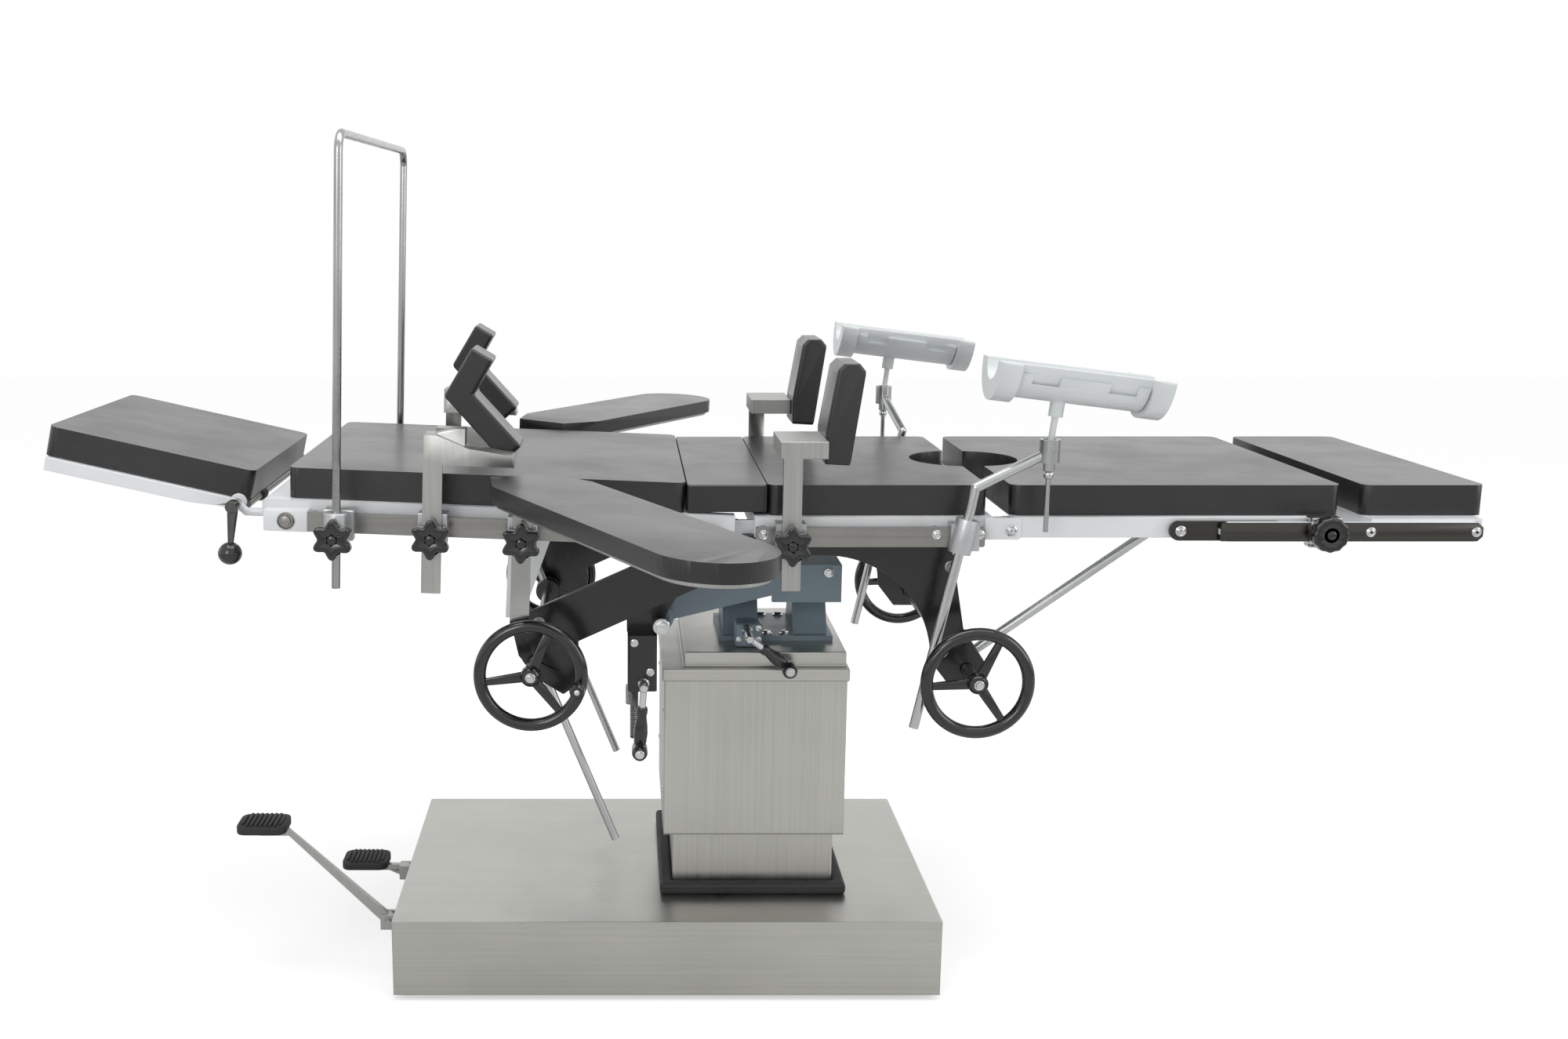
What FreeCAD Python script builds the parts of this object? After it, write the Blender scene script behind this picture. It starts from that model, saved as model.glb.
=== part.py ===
import FreeCAD, Part
import math
import os
import re
import Sketcher

# Manual hydraulic operating table with its accessories.
# Millimetres. The origin is on the floor under the column's axis, +X points to the foot end,
# +Z up, and the near side, with the cranks, is -Y.

doc = FreeCAD.newDocument("operating_table")
sheet = doc.addObject("Spreadsheet::Sheet", "dims")
names = []
pieces = []


def enter(sizes):
    """Writes driving dimensions into the sheet, each under its own alias."""
    for name, value in sizes.items():
        names.append(name)
        row = str(len(names))
        sheet.set("A" + row, name)
        sheet.set("B" + row, str(value))
        sheet.setAlias("B" + row, name)


def formula(text):
    """Turns the sizes' names in a formula into references to the sheet."""
    def reference(word):
        return "dims." + word.group() if word.group() in names else word.group()
    return re.sub(r"[a-z][a-z_0-9]*", reference, str(text))


def bind(piece, prop, text):
    piece.setExpression(prop, formula(text))


def box(name, along_x, along_y, along_z):
    """A block between a low and a high limit on each axis."""
    piece = doc.addObject("Part::Box", name)
    for prop, axis, limits in (("Length", "x", along_x), ("Width", "y", along_y), ("Height", "z", along_z)):
        bind(piece, prop, "(%s) - (%s)" % (limits[1], limits[0]))
        bind(piece, "Placement.Base." + axis, limits[0])
    return piece


def rod(name, radius, start, end):
    """A round bar from one point to another."""
    piece = doc.addObject("Part::Cylinder", name)
    run = ["((%s) - (%s))" % (last, first) for first, last in zip(start, end)]
    bind(piece, "Radius", radius)
    bind(piece, "Height", "sqrt(%s^2 + %s^2 + %s^2)" % tuple(run))
    place = "vector(%s; %s; %s)" % tuple(start)
    if start[0] == end[0] and start[1] == end[1]:
        turn = "rotation(vector(0; 0; 1); 0)"
    else:
        lean = "atan2(hypot(%s; %s); %s)" % tuple(run)
        turn = "rotation(vector(-1 * %s; %s; 0); %s)" % (run[1], run[0], lean)
    bind(piece, "Placement", "placement(%s; %s)" % (place, turn))
    return piece


def ball(name, radius, centre):
    piece = doc.addObject("Part::Sphere", name)
    bind(piece, "Radius", radius)
    bind(piece, "Placement", "placement(vector(%s; %s; %s); rotation(vector(0; 0; 1); 0))" % tuple(centre))
    return piece


def ring(name, radius, wire, centre):
    """A round ring whose axis is along Y."""
    piece = doc.addObject("Part::Torus", name)
    bind(piece, "Radius1", radius)
    bind(piece, "Radius2", wire)
    bind(piece, "Placement", "placement(vector(%s; %s; %s); rotation(vector(1; 0; 0); 90))" % tuple(centre))
    return piece


def elbow(name, radius, wire, centre):
    """A quarter bend of round bar in the YZ plane, from +Y round to +Z."""
    piece = doc.addObject("Part::Torus", name)
    bind(piece, "Radius1", radius)
    bind(piece, "Radius2", wire)
    piece.Angle3 = 90
    place = "vector(%s; %s; %s)" % tuple(centre)
    bind(piece, "Placement", "placement(%s; rotation(vector(1; 1; 1); 120))" % place)
    return piece


def plate(name, plane, outline, thick, middle):
    """A flat plate cut to an outline in a plane, thick millimetres through and centred at middle."""
    body = doc.addObject("PartDesign::Body", name)
    flat = next(f for f in body.Origin.OriginFeatures if f.Role == plane + "_Plane")
    sketch = body.newObject("Sketcher::SketchObject", name + "_outline")
    sketch.AttachmentSupport = [(flat, "")]
    sketch.MapMode = "FlatFace"
    count = len(outline)
    start = []
    for corner in range(count):
        angle = 2 * math.pi * corner / count
        start.append(FreeCAD.Vector(10 * math.cos(angle), 10 * math.sin(angle), 0))
    for corner in range(count):
        sketch.addGeometry(Part.LineSegment(start[corner], start[(corner + 1) % count]), False)
    for corner in range(count):
        sketch.addConstraint(Sketcher.Constraint("Coincident", corner, 2, (corner + 1) % count, 1))
    for corner, (across, up) in enumerate(outline):
        for kind, first, text in (("DistanceX", start[corner].x, across),
                                  ("DistanceY", start[corner].y, up)):
            index = sketch.addConstraint(Sketcher.Constraint(kind, -1, 1, corner, 1, first))
            bind(sketch, "Constraints[%d]" % index, text)
    pad = body.newObject("PartDesign::Pad", name + "_pad")
    pad.Profile = sketch
    pad.Midplane = True
    bind(pad, "Length", thick)
    side = {"XZ": "y", "XY": "z", "YZ": "x"}[plane]
    bind(body, "Placement.Base." + side, middle)
    return body


def soften(body, radius, chosen):
    """Rounds the edges of a body that a test picks."""
    doc.recompute()
    base = body.Tip
    edges = ["Edge%d" % (n + 1) for n, edge in enumerate(base.Shape.Edges) if chosen(edge)]
    fillet = body.newObject("PartDesign::Fillet", base.Name + "_round")
    fillet.Base = (base, edges)
    bind(fillet, "Radius", radius)
    body.Tip = fillet
    return body


def runs_along(axis):
    """Picks the straight edges that run along one axis."""
    return lambda edge: abs(getattr(edge.tangentAt(edge.FirstParameter), axis)) > 0.99


def join(name, *parts):
    piece = doc.addObject("Part::MultiFuse", name)
    piece.Shapes = list(parts)
    return piece


def cut(name, base, tool):
    piece = doc.addObject("Part::Cut", name)
    piece.Base = base
    piece.Tool = tool
    return piece


def group(name, *parts):
    """Separate solids kept as one piece's set."""
    piece = doc.addObject("Part::Compound", name)
    piece.Links = list(parts)
    return piece


def twin(source):
    """The same piece on the other side of the table's centre plane."""
    piece = doc.addObject("Part::Mirroring", source.Name + "_twin")
    piece.Source = source
    piece.Normal = FreeCAD.Vector(0, 1, 0)
    return piece


def both(name, source):
    return group(name, source, twin(source))


def node(label, piece, pivot=None, lean="0"):
    """Names a finished sub-part and, on a leaning section, turns it about the section's hinge."""
    if pivot:
        piece.Label = label + "_flat"
        piece = group(label, piece)
        turn = "rotation(vector(0; 1; 0); %s)" % lean
        bind(piece, "Placement", "placement(vector(%s; 0; %s); %s)" % (pivot[0], pivot[1], turn))
    piece.Label = label
    pieces.append(piece)
    return piece


# Base and lifting column
COLUMN = {
    "base_len": 829,
    "base_left": 551,
    "base_w": 508,
    "base_top": 127,
    "floor_gap": 9,
    "skin": 2.5,
    "chassis_plate": 8,
    "chassis_rail_w": 60,
    "chassis_rail_y": 150,
    "foot_r": 24,
    "foot_inset": 62,
    "gasket_x": 145,
    "gasket_y": 158,
    "gasket_h": 18,
    "inner_x": 125,
    "inner_y": 135,
    "inner_top": 438,
    "outer_x": 140,
    "outer_y": 150,
    "outer_low": 224,
    "cap_low": 472,
    "cap_under": 484,
    "cap_top": 491,
    "cap_lip": 3,
    "step_left": 109,
    "step_right": 139,
    "step_y": 138,
    "step_top": 514,
    "sleeve_r": 50,
    "sleeve_top": 400,
    "ram_r": 36,
    "ram_low": 72,
    "play": 0.05,
    "gap": 0.4,
}
enter(COLUMN)

base_x = ("-base_left", "base_len - base_left")
base_y = ("-base_w/2", "base_w/2")


def base_cover():
    shell = box("cover_block", base_x, base_y, ("floor_gap", "base_top"))
    hollow = box("cover_hollow", ("-base_left + skin", "base_len - base_left - skin"),
                 ("-base_w/2 + skin", "base_w/2 - skin"), ("floor_gap", "base_top - skin"))
    well = box("cover_well", ("-inner_x + skin", "inner_x - skin"), ("-inner_y + skin", "inner_y - skin"),
               ("floor_gap", "base_top"))
    return cut("base_cover", shell, join("cover_inside", hollow, well))


def base_chassis():
    floor = box("chassis_floor", ("-base_left + skin + gap", "base_len - base_left - skin - gap"),
                ("-base_w/2 + skin + gap", "base_w/2 - skin - gap"),
                ("floor_gap", "floor_gap + chassis_plate"))
    rail = box("chassis_rail", ("-base_left + 2*skin", "base_len - base_left - 2*skin"),
               ("chassis_rail_y", "chassis_rail_y + chassis_rail_w"),
               ("floor_gap + chassis_plate", "base_top - skin"))
    return join("base_chassis", floor, rail, twin(rail))


def base_feet():
    feet = []
    for end, x in (("left", "-base_left + foot_inset"), ("right", "base_len - base_left - foot_inset")):
        for side, y in (("near", "-base_w/2 + foot_inset"), ("far", "base_w/2 - foot_inset")):
            feet.append(rod("foot_%s_%s" % (end, side), "foot_r", (x, y, "0"), (x, y, "floor_gap")))
    return group("base_feet", *feet)


def square_tube(name, half_x, half_y, low, high, wall):
    outside = box(name + "_out", ("-" + half_x, half_x), ("-" + half_y, half_y), (low, high))
    inside = box(name + "_in", ("-%s + %s" % (half_x, wall), "%s - %s" % (half_x, wall)),
                 ("-%s + %s" % (half_y, wall), "%s - %s" % (half_y, wall)), (low, high))
    return cut(name, outside, inside)


def column_gasket():
    return square_tube("column_gasket", "gasket_x", "gasket_y", "base_top",
                       "base_top + gasket_h", "(gasket_x - inner_x)")


def column_cap():
    lip = box("cap_lip_block", ("-outer_x - cap_lip", "outer_x + cap_lip"),
              ("-outer_y - cap_lip", "outer_y + cap_lip"), ("cap_low", "cap_top"))
    seat = box("cap_seat", ("-outer_x - play", "outer_x + play"), ("-outer_y - play", "outer_y + play"),
               ("cap_low", "cap_under"))
    step = box("cap_step", ("-step_left", "step_right"), ("-step_y", "step_y"), ("cap_top", "step_top"))
    return join("column_cap", cut("cap_tray", lip, seat), step)


def lift_cylinder():
    sleeve = rod("sleeve", "sleeve_r", ("0", "0", "floor_gap + chassis_plate"), ("0", "0", "sleeve_top"))
    bore = rod("sleeve_bore", "ram_r + play", ("0", "0", "floor_gap + 2*chassis_plate"),
               ("0", "0", "sleeve_top"))
    return cut("lift_cylinder", sleeve, bore)


node("base_cover", base_cover())
node("base_chassis", base_chassis())
node("base_feet", base_feet())
node("column_gasket", column_gasket())
node("column_inner_cover",
     square_tube("column_inner_cover", "inner_x", "inner_y", "base_top", "inner_top", "skin"))
node("lift_cylinder", lift_cylinder())
node("column_outer_cover",
     square_tube("column_outer_cover", "outer_x", "outer_y", "outer_low", "cap_under", "skin"))
node("column_cap", column_cap())
node("lift_ram", rod("lift_ram", "ram_r", ("0", "0", "ram_low"), ("0", "0", "cap_under")))

# Foot pedals at the head end of the base
PEDALS = {
    "pedal_pin_r": 6,
    "pump_pin_out": 16,
    "pump_pin_z": 92,
    "pump_y": 170,
    "pump_run": 150,
    "pump_rise": 150,
    "pump_arm_h": 24,
    "pedal_arm_t": 10,
    "release_pin_z": 82,
    "release_y": 40,
    "release_run": 30,
    "release_rise": 12,
    "pedal_len": 76,
    "pedal_w": 60,
    "pedal_t": 16,
    "lug_t": 6,
}
enter(PEDALS)


def pedal_arm(name, side, pin_z, run, rise):
    """A flat bar from its pin up to the pedal, with a round eye at the pin."""
    pin_x = "-base_left - pump_pin_out"
    half = "pump_arm_h/2"
    outline = [(pin_x, pin_z + " - " + half), (pin_x, pin_z + " + " + half),
               ("%s - %s" % (pin_x, run), "%s + %s" % (pin_z, rise)),
               ("%s - %s - pedal_len*0.6" % (pin_x, run), "%s + %s" % (pin_z, rise)),
               ("%s - %s - pedal_len*0.6" % (pin_x, run), "%s + %s - pedal_arm_t" % (pin_z, rise)),
               ("%s - %s" % (pin_x, run), "%s + %s - pedal_arm_t" % (pin_z, rise))]
    bar = plate(name + "_bar", "XZ", outline, "pedal_arm_t", side)
    eye = rod(name + "_eye", half, (pin_x, side + " - pedal_arm_t/2", pin_z),
              (pin_x, side + " + pedal_arm_t/2", pin_z))
    bore = rod(name + "_bore", "pedal_pin_r + play", (pin_x, side + " - pedal_arm_t", pin_z),
               (pin_x, side + " + pedal_arm_t", pin_z))
    return cut(name, join(name + "_solid", bar, eye), bore)


def pedal_pad(name, side, pin_z, run, rise):
    """The ribbed rubber pad that sits on the pedal arm's end."""
    right = "-base_left - pump_pin_out - %s" % run
    under = "%s + %s" % (pin_z, rise)
    outline = [(right + " - pedal_len", side + " - pedal_w/2"), (right, side + " - pedal_w/2"),
               (right, side + " + pedal_w/2"), (right + " - pedal_len", side + " + pedal_w/2")]
    body = plate(name, "XY", outline, "pedal_t", under + " + pedal_t/2")
    return soften(body, "pedal_t/2", runs_along("z"))


def pedal_brackets():
    lugs = []
    for name, side, pin_z in (("pump", "-pump_y", "pump_pin_z"), ("release", "release_y", "release_pin_z")):
        for edge, low, high in (("a", " - pedal_arm_t/2 - gap - lug_t", " - pedal_arm_t/2 - gap"),
                                ("b", " + pedal_arm_t/2 + gap", " + pedal_arm_t/2 + gap + lug_t")):
            lugs.append(box("%s_lug_%s" % (name, edge),
                            ("-base_left - pump_pin_out - pump_arm_h/2", "-base_left"),
                            (side + low, side + high),
                            (pin_z + " - pump_arm_h/2", pin_z + " + pump_arm_h/2")))
        pin_x = "-base_left - pump_pin_out"
        lugs.append(rod(name + "_pin", "pedal_pin_r", (pin_x, side + " - pedal_arm_t - lug_t", pin_z),
                        (pin_x, side + " + pedal_arm_t + lug_t", pin_z)))
    return join("pedal_brackets", *lugs)


node("pedal_brackets", pedal_brackets())


def pedal(name, side, pin_z, run, rise):
    """An arm and its rubber pad, two pieces kept together."""
    return group(name, pedal_arm(name + "_arm", side, pin_z, run, rise),
                 pedal_pad(name + "_pad", side, pin_z, run, rise))


node("lift_pedal", pedal("lift_pedal", "-pump_y", "pump_pin_z", "pump_run", "pump_rise"))
node("release_pedal", pedal("release_pedal", "release_y", "release_pin_z", "release_run", "release_rise"))

# Column head: two uprights that carry the lateral tilt shaft
UPRIGHTS = {
    "roll_z": 596,
    "roll_pin_r": 12,
    "head_foot_t": 8,
    "head_foot_y": 72,
    "upright_y": 60,
    "upright_eye_r": 20,
    "upright_a_low": 45,
    "upright_a_high": 10,
    "upright_b_low": 65,
    "upright_b_high": 118,
}
enter(UPRIGHTS)

# Cradle: rocks on the lateral shaft and carries the head-down tilt shaft
CRADLE = {
    "saddle_left": 60,
    "saddle_right": 135,
    "saddle_y": 92,
    "saddle_under": 620,
    "saddle_t": 20,
    "skirt_t": 12,
    "skirt_low": 581,
    "skirt_left": 28,
    "pitch_x": 45,
    "pitch_z": 672,
    "pitch_pin_r": 11,
    "pitch_eye_r": 18,
    "pitch_lug_in": 56,
    "pitch_lug_t": 12,
    "arm_t": 12,
    "arm_eye_x": 146,
    "arm_eye_z": 572,
    "arm_eye_r": 20,
    "jack_y": -158,
    "lever_t": 8,
}
enter(CRADLE)


def column_head():
    foot = box("head_foot", ("-upright_a_low - 8", "upright_b_high + 8"), ("-head_foot_y", "head_foot_y"),
               ("step_top", "step_top + head_foot_t"))
    solids = [foot]
    for name, low, high in (("a", "-upright_a_low", "upright_a_high"),
                            ("b", "upright_b_low", "upright_b_high")):
        outline = [("-upright_y", "step_top + head_foot_t"), ("upright_y", "step_top + head_foot_t"),
                   ("upright_eye_r", "roll_z"), ("-upright_eye_r", "roll_z")]
        middle = "((%s) + (%s))/2" % (low, high)
        web = plate("upright_" + name, "YZ", outline, "(%s) - (%s)" % (high, low), middle)
        eye = rod("upright_eye_" + name, "upright_eye_r", (low, "0", "roll_z"), (high, "0", "roll_z"))
        solids += [web, eye]
    bore = rod("roll_bore", "roll_pin_r + play", ("-upright_a_low - 5", "0", "roll_z"),
               ("upright_b_high + 5", "0", "roll_z"))
    pin = rod("lateral_shaft", "roll_pin_r", ("-upright_a_low - 10", "0", "roll_z"),
              ("upright_b_high + 10", "0", "roll_z"))
    return group("column_head", cut("head_bored", join("head_casting", *solids), bore), pin)


def tilt_cradle():
    hub_low = "upright_a_high + 2*gap"
    hub_high = "upright_b_low - 2*gap"
    hub = rod("cradle_hub", "upright_eye_r", (hub_low, "0", "roll_z"), (hub_high, "0", "roll_z"))
    neck = box("cradle_neck", (hub_low, hub_high), ("-upright_eye_r", "upright_eye_r"),
               ("roll_z", "saddle_under"))
    bore = rod("cradle_bore", "roll_pin_r + play", ("-saddle_left", "0", "roll_z"),
               ("saddle_right", "0", "roll_z"))
    saddle = box("saddle", ("-saddle_left", "saddle_right"), ("-saddle_y", "saddle_y"),
                 ("saddle_under", "saddle_under + saddle_t"))
    skirt = box("skirt", ("skirt_left", "saddle_right"), ("saddle_y - skirt_t", "saddle_y"),
                ("skirt_low", "saddle_under + saddle_t - 5"))
    lugs = []
    lug_outline = [("pitch_x - 30", "saddle_under + saddle_t"), ("pitch_x + 30", "saddle_under + saddle_t"),
                   ("pitch_x + pitch_eye_r", "pitch_z"), ("pitch_x - pitch_eye_r", "pitch_z")]
    web = plate("pitch_lug", "XZ", lug_outline, "pitch_lug_t", "pitch_lug_in + pitch_lug_t/2")
    eye = rod("pitch_lug_eye", "pitch_eye_r", ("pitch_x", "pitch_lug_in", "pitch_z"),
              ("pitch_x", "pitch_lug_in + pitch_lug_t", "pitch_z"))
    lugs += [web, eye, twin(web), twin(eye)]
    pitch_bore = rod("pitch_lug_bore", "pitch_pin_r + play", ("pitch_x", "-saddle_y", "pitch_z"),
                     ("pitch_x", "saddle_y", "pitch_z"))
    arm_outline = [("skirt_left + 20", "skirt_low + 19"),
                   ("skirt_left + 20", "saddle_under + saddle_t - 5"),
                   ("-saddle_left", "saddle_under + 8"), ("-arm_eye_x - 6", "arm_eye_z + arm_eye_r - 2"),
                   ("-arm_eye_x", "arm_eye_z - arm_eye_r")]
    arm = plate("cradle_arm", "XZ", arm_outline, "arm_t", "-saddle_y - arm_t/2")
    arm_eye = rod("cradle_arm_eye", "arm_eye_r", ("-arm_eye_x", "jack_y + lever_t/2 + 2*gap", "arm_eye_z"),
                  ("-arm_eye_x", "-saddle_y", "arm_eye_z"))
    solid = join("cradle_casting", hub, neck, saddle, skirt, twin(skirt), arm, arm_eye, *lugs)
    pin = rod("pitch_shaft", "pitch_pin_r", ("pitch_x", "-saddle_y + 4", "pitch_z"),
              ("pitch_x", "saddle_y - 4", "pitch_z"))
    return group("tilt_cradle", cut("cradle_bored", solid, join("cradle_bores", bore, pitch_bore)), pin)


node("column_head", column_head())
node("tilt_cradle", tilt_cradle())


# Table top frame: square side tubes, accessory rails and the black drive brackets
TOP = {
    "tube": 30,
    "tube_in": 232,
    "tube_under": 718,
    "panel_t": 4,
    "rail_in": 274,
    "rail_t": 10,
    "rail_h": 28,
    "rail_low": 709,
    "spacer_r": 9,
    "back_x": -41,
    "back_z": 725,
    "leg_x": 349,
    "leg_z": 729,
    "hinge_clear": 26,
    "hinge_r": 13,
    "hinge_pin_r": 6,
    "hinge_t": 6,
    "bracket_in": 236,
    "bracket_t": 8,
    "bracket_bow_x": 88,
    "bracket_bow_r": 158,
    "bracket_bow_z": 530,
    "left_shaft_x": -333,
    "right_shaft_x": 298,
    "left_shaft_z": 531,
    "right_shaft_z": 520,
    "shaft_r": 8,
    "cross_z": 697,
    "notch_x": 330,
    "notch_r": 80,
}
enter(TOP)


def side_tube(name, left, right):
    return box(name, (left, right), ("tube_in", "tube_in + tube"), ("tube_under", "tube_under + tube"))


def frame_lug(name, x, z, reach, inner):
    """A hinge lug: a short flat arm with a round eye, at one layer of the knuckle."""
    low = "min(%s; %s + %s)" % (x, x, reach)
    high = "max(%s; %s + %s)" % (x, x, reach)
    arm = box(name + "_arm", (low, high), (inner, inner + " + hinge_t"), ("%s - 7" % z, "%s + hinge_r" % z))
    eye = rod(name + "_eye", "hinge_r", (x, inner, z), (x, inner + " + hinge_t", z))
    return join(name, arm, eye)


def seat_frame():
    left = "back_x + hinge_clear"
    right = "leg_x - hinge_clear"
    tube = side_tube("seat_tube", left, right)
    outer = "tube_in - hinge_t"
    lug_a = frame_lug("seat_lug_a", "back_x", "back_z", "60", outer)
    lug_b = frame_lug("seat_lug_b", "leg_x", "leg_z", "-60", outer)
    pin_a = rod("seat_pin_a", "hinge_pin_r", ("back_x", "tube_in - 3*hinge_t", "back_z"),
                ("back_x", outer, "back_z"))
    pin_b = rod("seat_pin_b", "hinge_pin_r", ("leg_x", "tube_in - 3*hinge_t", "leg_z"),
                ("leg_x", outer, "leg_z"))
    cross_a = box("seat_cross_a", (left, left + " + tube"), ("-tube_in", "tube_in"),
                  ("tube_under", "tube_under + tube - panel_t"))
    cross_b = box("seat_cross_b", ("notch_x - notch_r - 2*tube", "notch_x - notch_r - tube"),
                  ("-tube_in", "tube_in"),
                  ("tube_under", "tube_under + tube - panel_t"))
    panel = box("seat_panel_block", (left, right), ("-tube_in", "tube_in"),
                ("tube_under + tube - panel_t", "tube_under + tube"))
    notch = rod("seat_panel_notch", "notch_r + 6", ("notch_x", "0", "tube_under"),
                ("notch_x", "0", "tube_under + 2*tube"))
    return join("seat_frame", tube, twin(tube), lug_a, twin(lug_a), lug_b, twin(lug_b), pin_a, twin(pin_a),
                pin_b, twin(pin_b), cross_a, cross_b, cut("seat_panel", panel, notch))


def rail_set(name, left, right, posts, low):
    """A flat accessory rail stood off the frame on round spacers."""
    bar = plate(name + "_bar", "XZ",
                [(left, low), (right, low), (right, low + " + rail_h"), (left, low + " + rail_h")],
                "rail_t", "rail_in + rail_t/2")
    soften(bar, "3", runs_along("y"))
    solids = [bar]
    for index, post in enumerate(posts):
        solids.append(rod("%s_spacer_%d" % (name, index), "spacer_r",
                          (post, "tube_in + tube", low + " + rail_h/2 + 4"),
                          (post, "rail_in", low + " + rail_h/2 + 4")))
    return both(name, join(name + "_side", *solids))


def drive_brackets():
    """Side plates that hang the two drive shafts under the top, with their cross beam and tilt hub."""
    outline = [("-345", "602"), ("-127", "700"), ("-30", "706"), ("-30", "tube_under"),
               ("290", "tube_under"), ("272", "694"), ("292", "580"),
               ("right_shaft_x + 28", "right_shaft_z + 8"), ("right_shaft_x + 20", "right_shaft_z - 26"),
               ("right_shaft_x - 24", "right_shaft_z - 26"), ("246", "bracket_bow_z"),
               ("bracket_bow_x", "bracket_bow_z"), ("bracket_bow_x", "688"), ("10", "688"),
               ("-268", "560"), ("-262", "500"), ("-290", "480"),
               ("left_shaft_x + 6", "left_shaft_z - 28"), ("left_shaft_x - 22", "left_shaft_z + 8"),
               ("-366", "590")]
    blank = plate("bracket_blank", "XZ", outline, "bracket_t", "bracket_in + bracket_t/2")
    bow = rod("bracket_bow", "bracket_bow_r", ("bracket_bow_x", "bracket_in - 5", "bracket_bow_z"),
              ("bracket_bow_x", "bracket_in + bracket_t + 5", "bracket_bow_z"))
    bores = []
    for side in ("left", "right"):
        x, z = (side + "_shaft_x", side + "_shaft_z")
        bores.append(rod(side + "_bracket_bore", "shaft_r + play", (x, "bracket_in - 5", z),
                         (x, "bracket_in + bracket_t + 5", z)))
    side = cut("bracket_side", blank, join("bracket_cuts", bow, *bores))
    cross = box("bracket_cross", ("pitch_x - 40", "pitch_x + 40"), ("-bracket_in", "bracket_in"),
                ("cross_z", "tube_under - 6"))
    hub = rod("pitch_hub", "pitch_eye_r", ("pitch_x", "-pitch_lug_in + gap", "pitch_z"),
              ("pitch_x", "pitch_lug_in - gap", "pitch_z"))
    neck = box("pitch_neck", ("pitch_x - pitch_eye_r", "pitch_x + pitch_eye_r"),
               ("-pitch_lug_in + gap", "pitch_lug_in - gap"),
               ("pitch_z", "cross_z"))
    bore = rod("pitch_hub_bore", "pitch_pin_r + play", ("pitch_x", "-saddle_y", "pitch_z"),
               ("pitch_x", "saddle_y", "pitch_z"))
    return cut("drive_brackets", join("bracket_solid", side, twin(side), cross, hub, neck), bore)


node("seat_frame", seat_frame())
node("seat_rails", rail_set("seat_rails", "-15", "308", ["-4", "240"], "rail_low"))
node("drive_brackets", drive_brackets())

# Jack housing with its lever and screw, on the near side
JACK = {
    "housing_left": 196,
    "housing_right": 152,
    "housing_low": 470,
    "housing_top": 556,
    "housing_near": 198,
    "screw_r": 6,
    "crank_x": -172,
    "crank_z": 484,
    "crank_len": 96,
    "grip_r": 10,
    "roll_crank_x": -12,
    "roll_crank_z": 543,
    "roll_front": 113,
    "roll_reach": 42,
    "crank_reach": 22,
}
enter(JACK)


def tilt_lever():
    """The black lever under the top: a forked plate with an oval lightening hole, down to the jack."""
    outline = [("-197", "574"), ("-160", "640"), ("-100", "cross_z"), ("20", "cross_z"), ("20", "690"),
               ("-60", "672"), ("-110", "630"), ("-152", "552"), ("-197", "552")]
    blank = plate("lever_blank", "XZ", outline, "lever_t", "jack_y")
    window = rod("lever_window", "9", ("-128", "jack_y - lever_t", "650"),
                 ("-128", "jack_y + lever_t", "650"))
    top = box("lever_tie", ("-40", "pitch_x - 40"), ("jack_y - lever_t/2", "jack_y + lever_t/2"),
              ("cross_z - 2", "tube_under - 6"))
    return cut("tilt_lever", join("lever_solid", blank, top), window)


def jack_housing():
    body = plate("jack_body", "XZ", [("-housing_left", "housing_low"), ("-housing_right", "housing_low"),
                                     ("-housing_right", "housing_top"), ("-housing_left", "housing_top")],
                 "housing_near + jack_y - lever_t/2", "(-housing_near + jack_y - lever_t/2)/2")
    soften(body, "5", runs_along("z"))
    boss = rod("jack_boss", "13", ("-arm_eye_x", "-housing_near - 6", "arm_eye_z"),
               ("-arm_eye_x", "jack_y - lever_t/2", "arm_eye_z"))
    screw = rod("jack_screw", "screw_r", ("-186", "-housing_near + 14", "housing_low - 76"),
                ("-186", "-housing_near + 14", "housing_low"))
    return group("jack_housing", join("jack_case", body, boss), screw)


def hand_crank(name, x, z, front, reach, drop, slant):
    """A folding crank: shaft, arm and a turned grip that points at the user."""
    face = "%s - %s" % (front, reach)
    end = ("%s + %s" % (x, slant), "%s - %s" % (z, drop))
    shaft = rod(name + "_shaft", "7", (x, front, z), (x, face + " - 14", z))
    arm = rod(name + "_arm", "8", (x, face + " - 8", z), (end[0], face + " - 8", end[1]))
    grip = rod(name + "_grip", "grip_r", (end[0], face + " - 2", end[1]), (end[0], face + " - 36", end[1]))
    return join(name, shaft, arm, grip)


node("tilt_lever", tilt_lever())
node("jack_housing", jack_housing())
node("pitch_crank",
     hand_crank("pitch_crank", "crank_x", "crank_z", "-housing_near - gap", "crank_reach - 8", "crank_len",
                "-6"))
node("roll_crank",
     hand_crank("roll_crank", "roll_crank_x", "roll_crank_z", "-roll_front - gap", "roll_reach", "46",
                "60"))
node("roll_gearbox",
     box("roll_gearbox", ("roll_crank_x - 18", "roll_crank_x + 24"), ("-roll_front", "-head_foot_y"),
         ("step_top", "roll_crank_z + 9")))

# Cushions of the seat
CUSHIONS = {
    "pad_half": 250,
    "pad_low": 748,
    "pad_t": 44,
    "pad_round": 14,
    "fold_left": -112,
    "fold_right": 4,
    "seat_pad_end": 317,
}
enter(CUSHIONS)


def cushion(name, left, right, half, low, high):
    outline = [(left, "-" + half), (right, "-" + half), (right, half), (left, half)]
    body = plate(name, "XY", outline, "(%s) - (%s)" % (high, low), "((%s) + (%s))/2" % (high, low))
    return soften(body, "pad_round", runs_along("z"))


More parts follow.
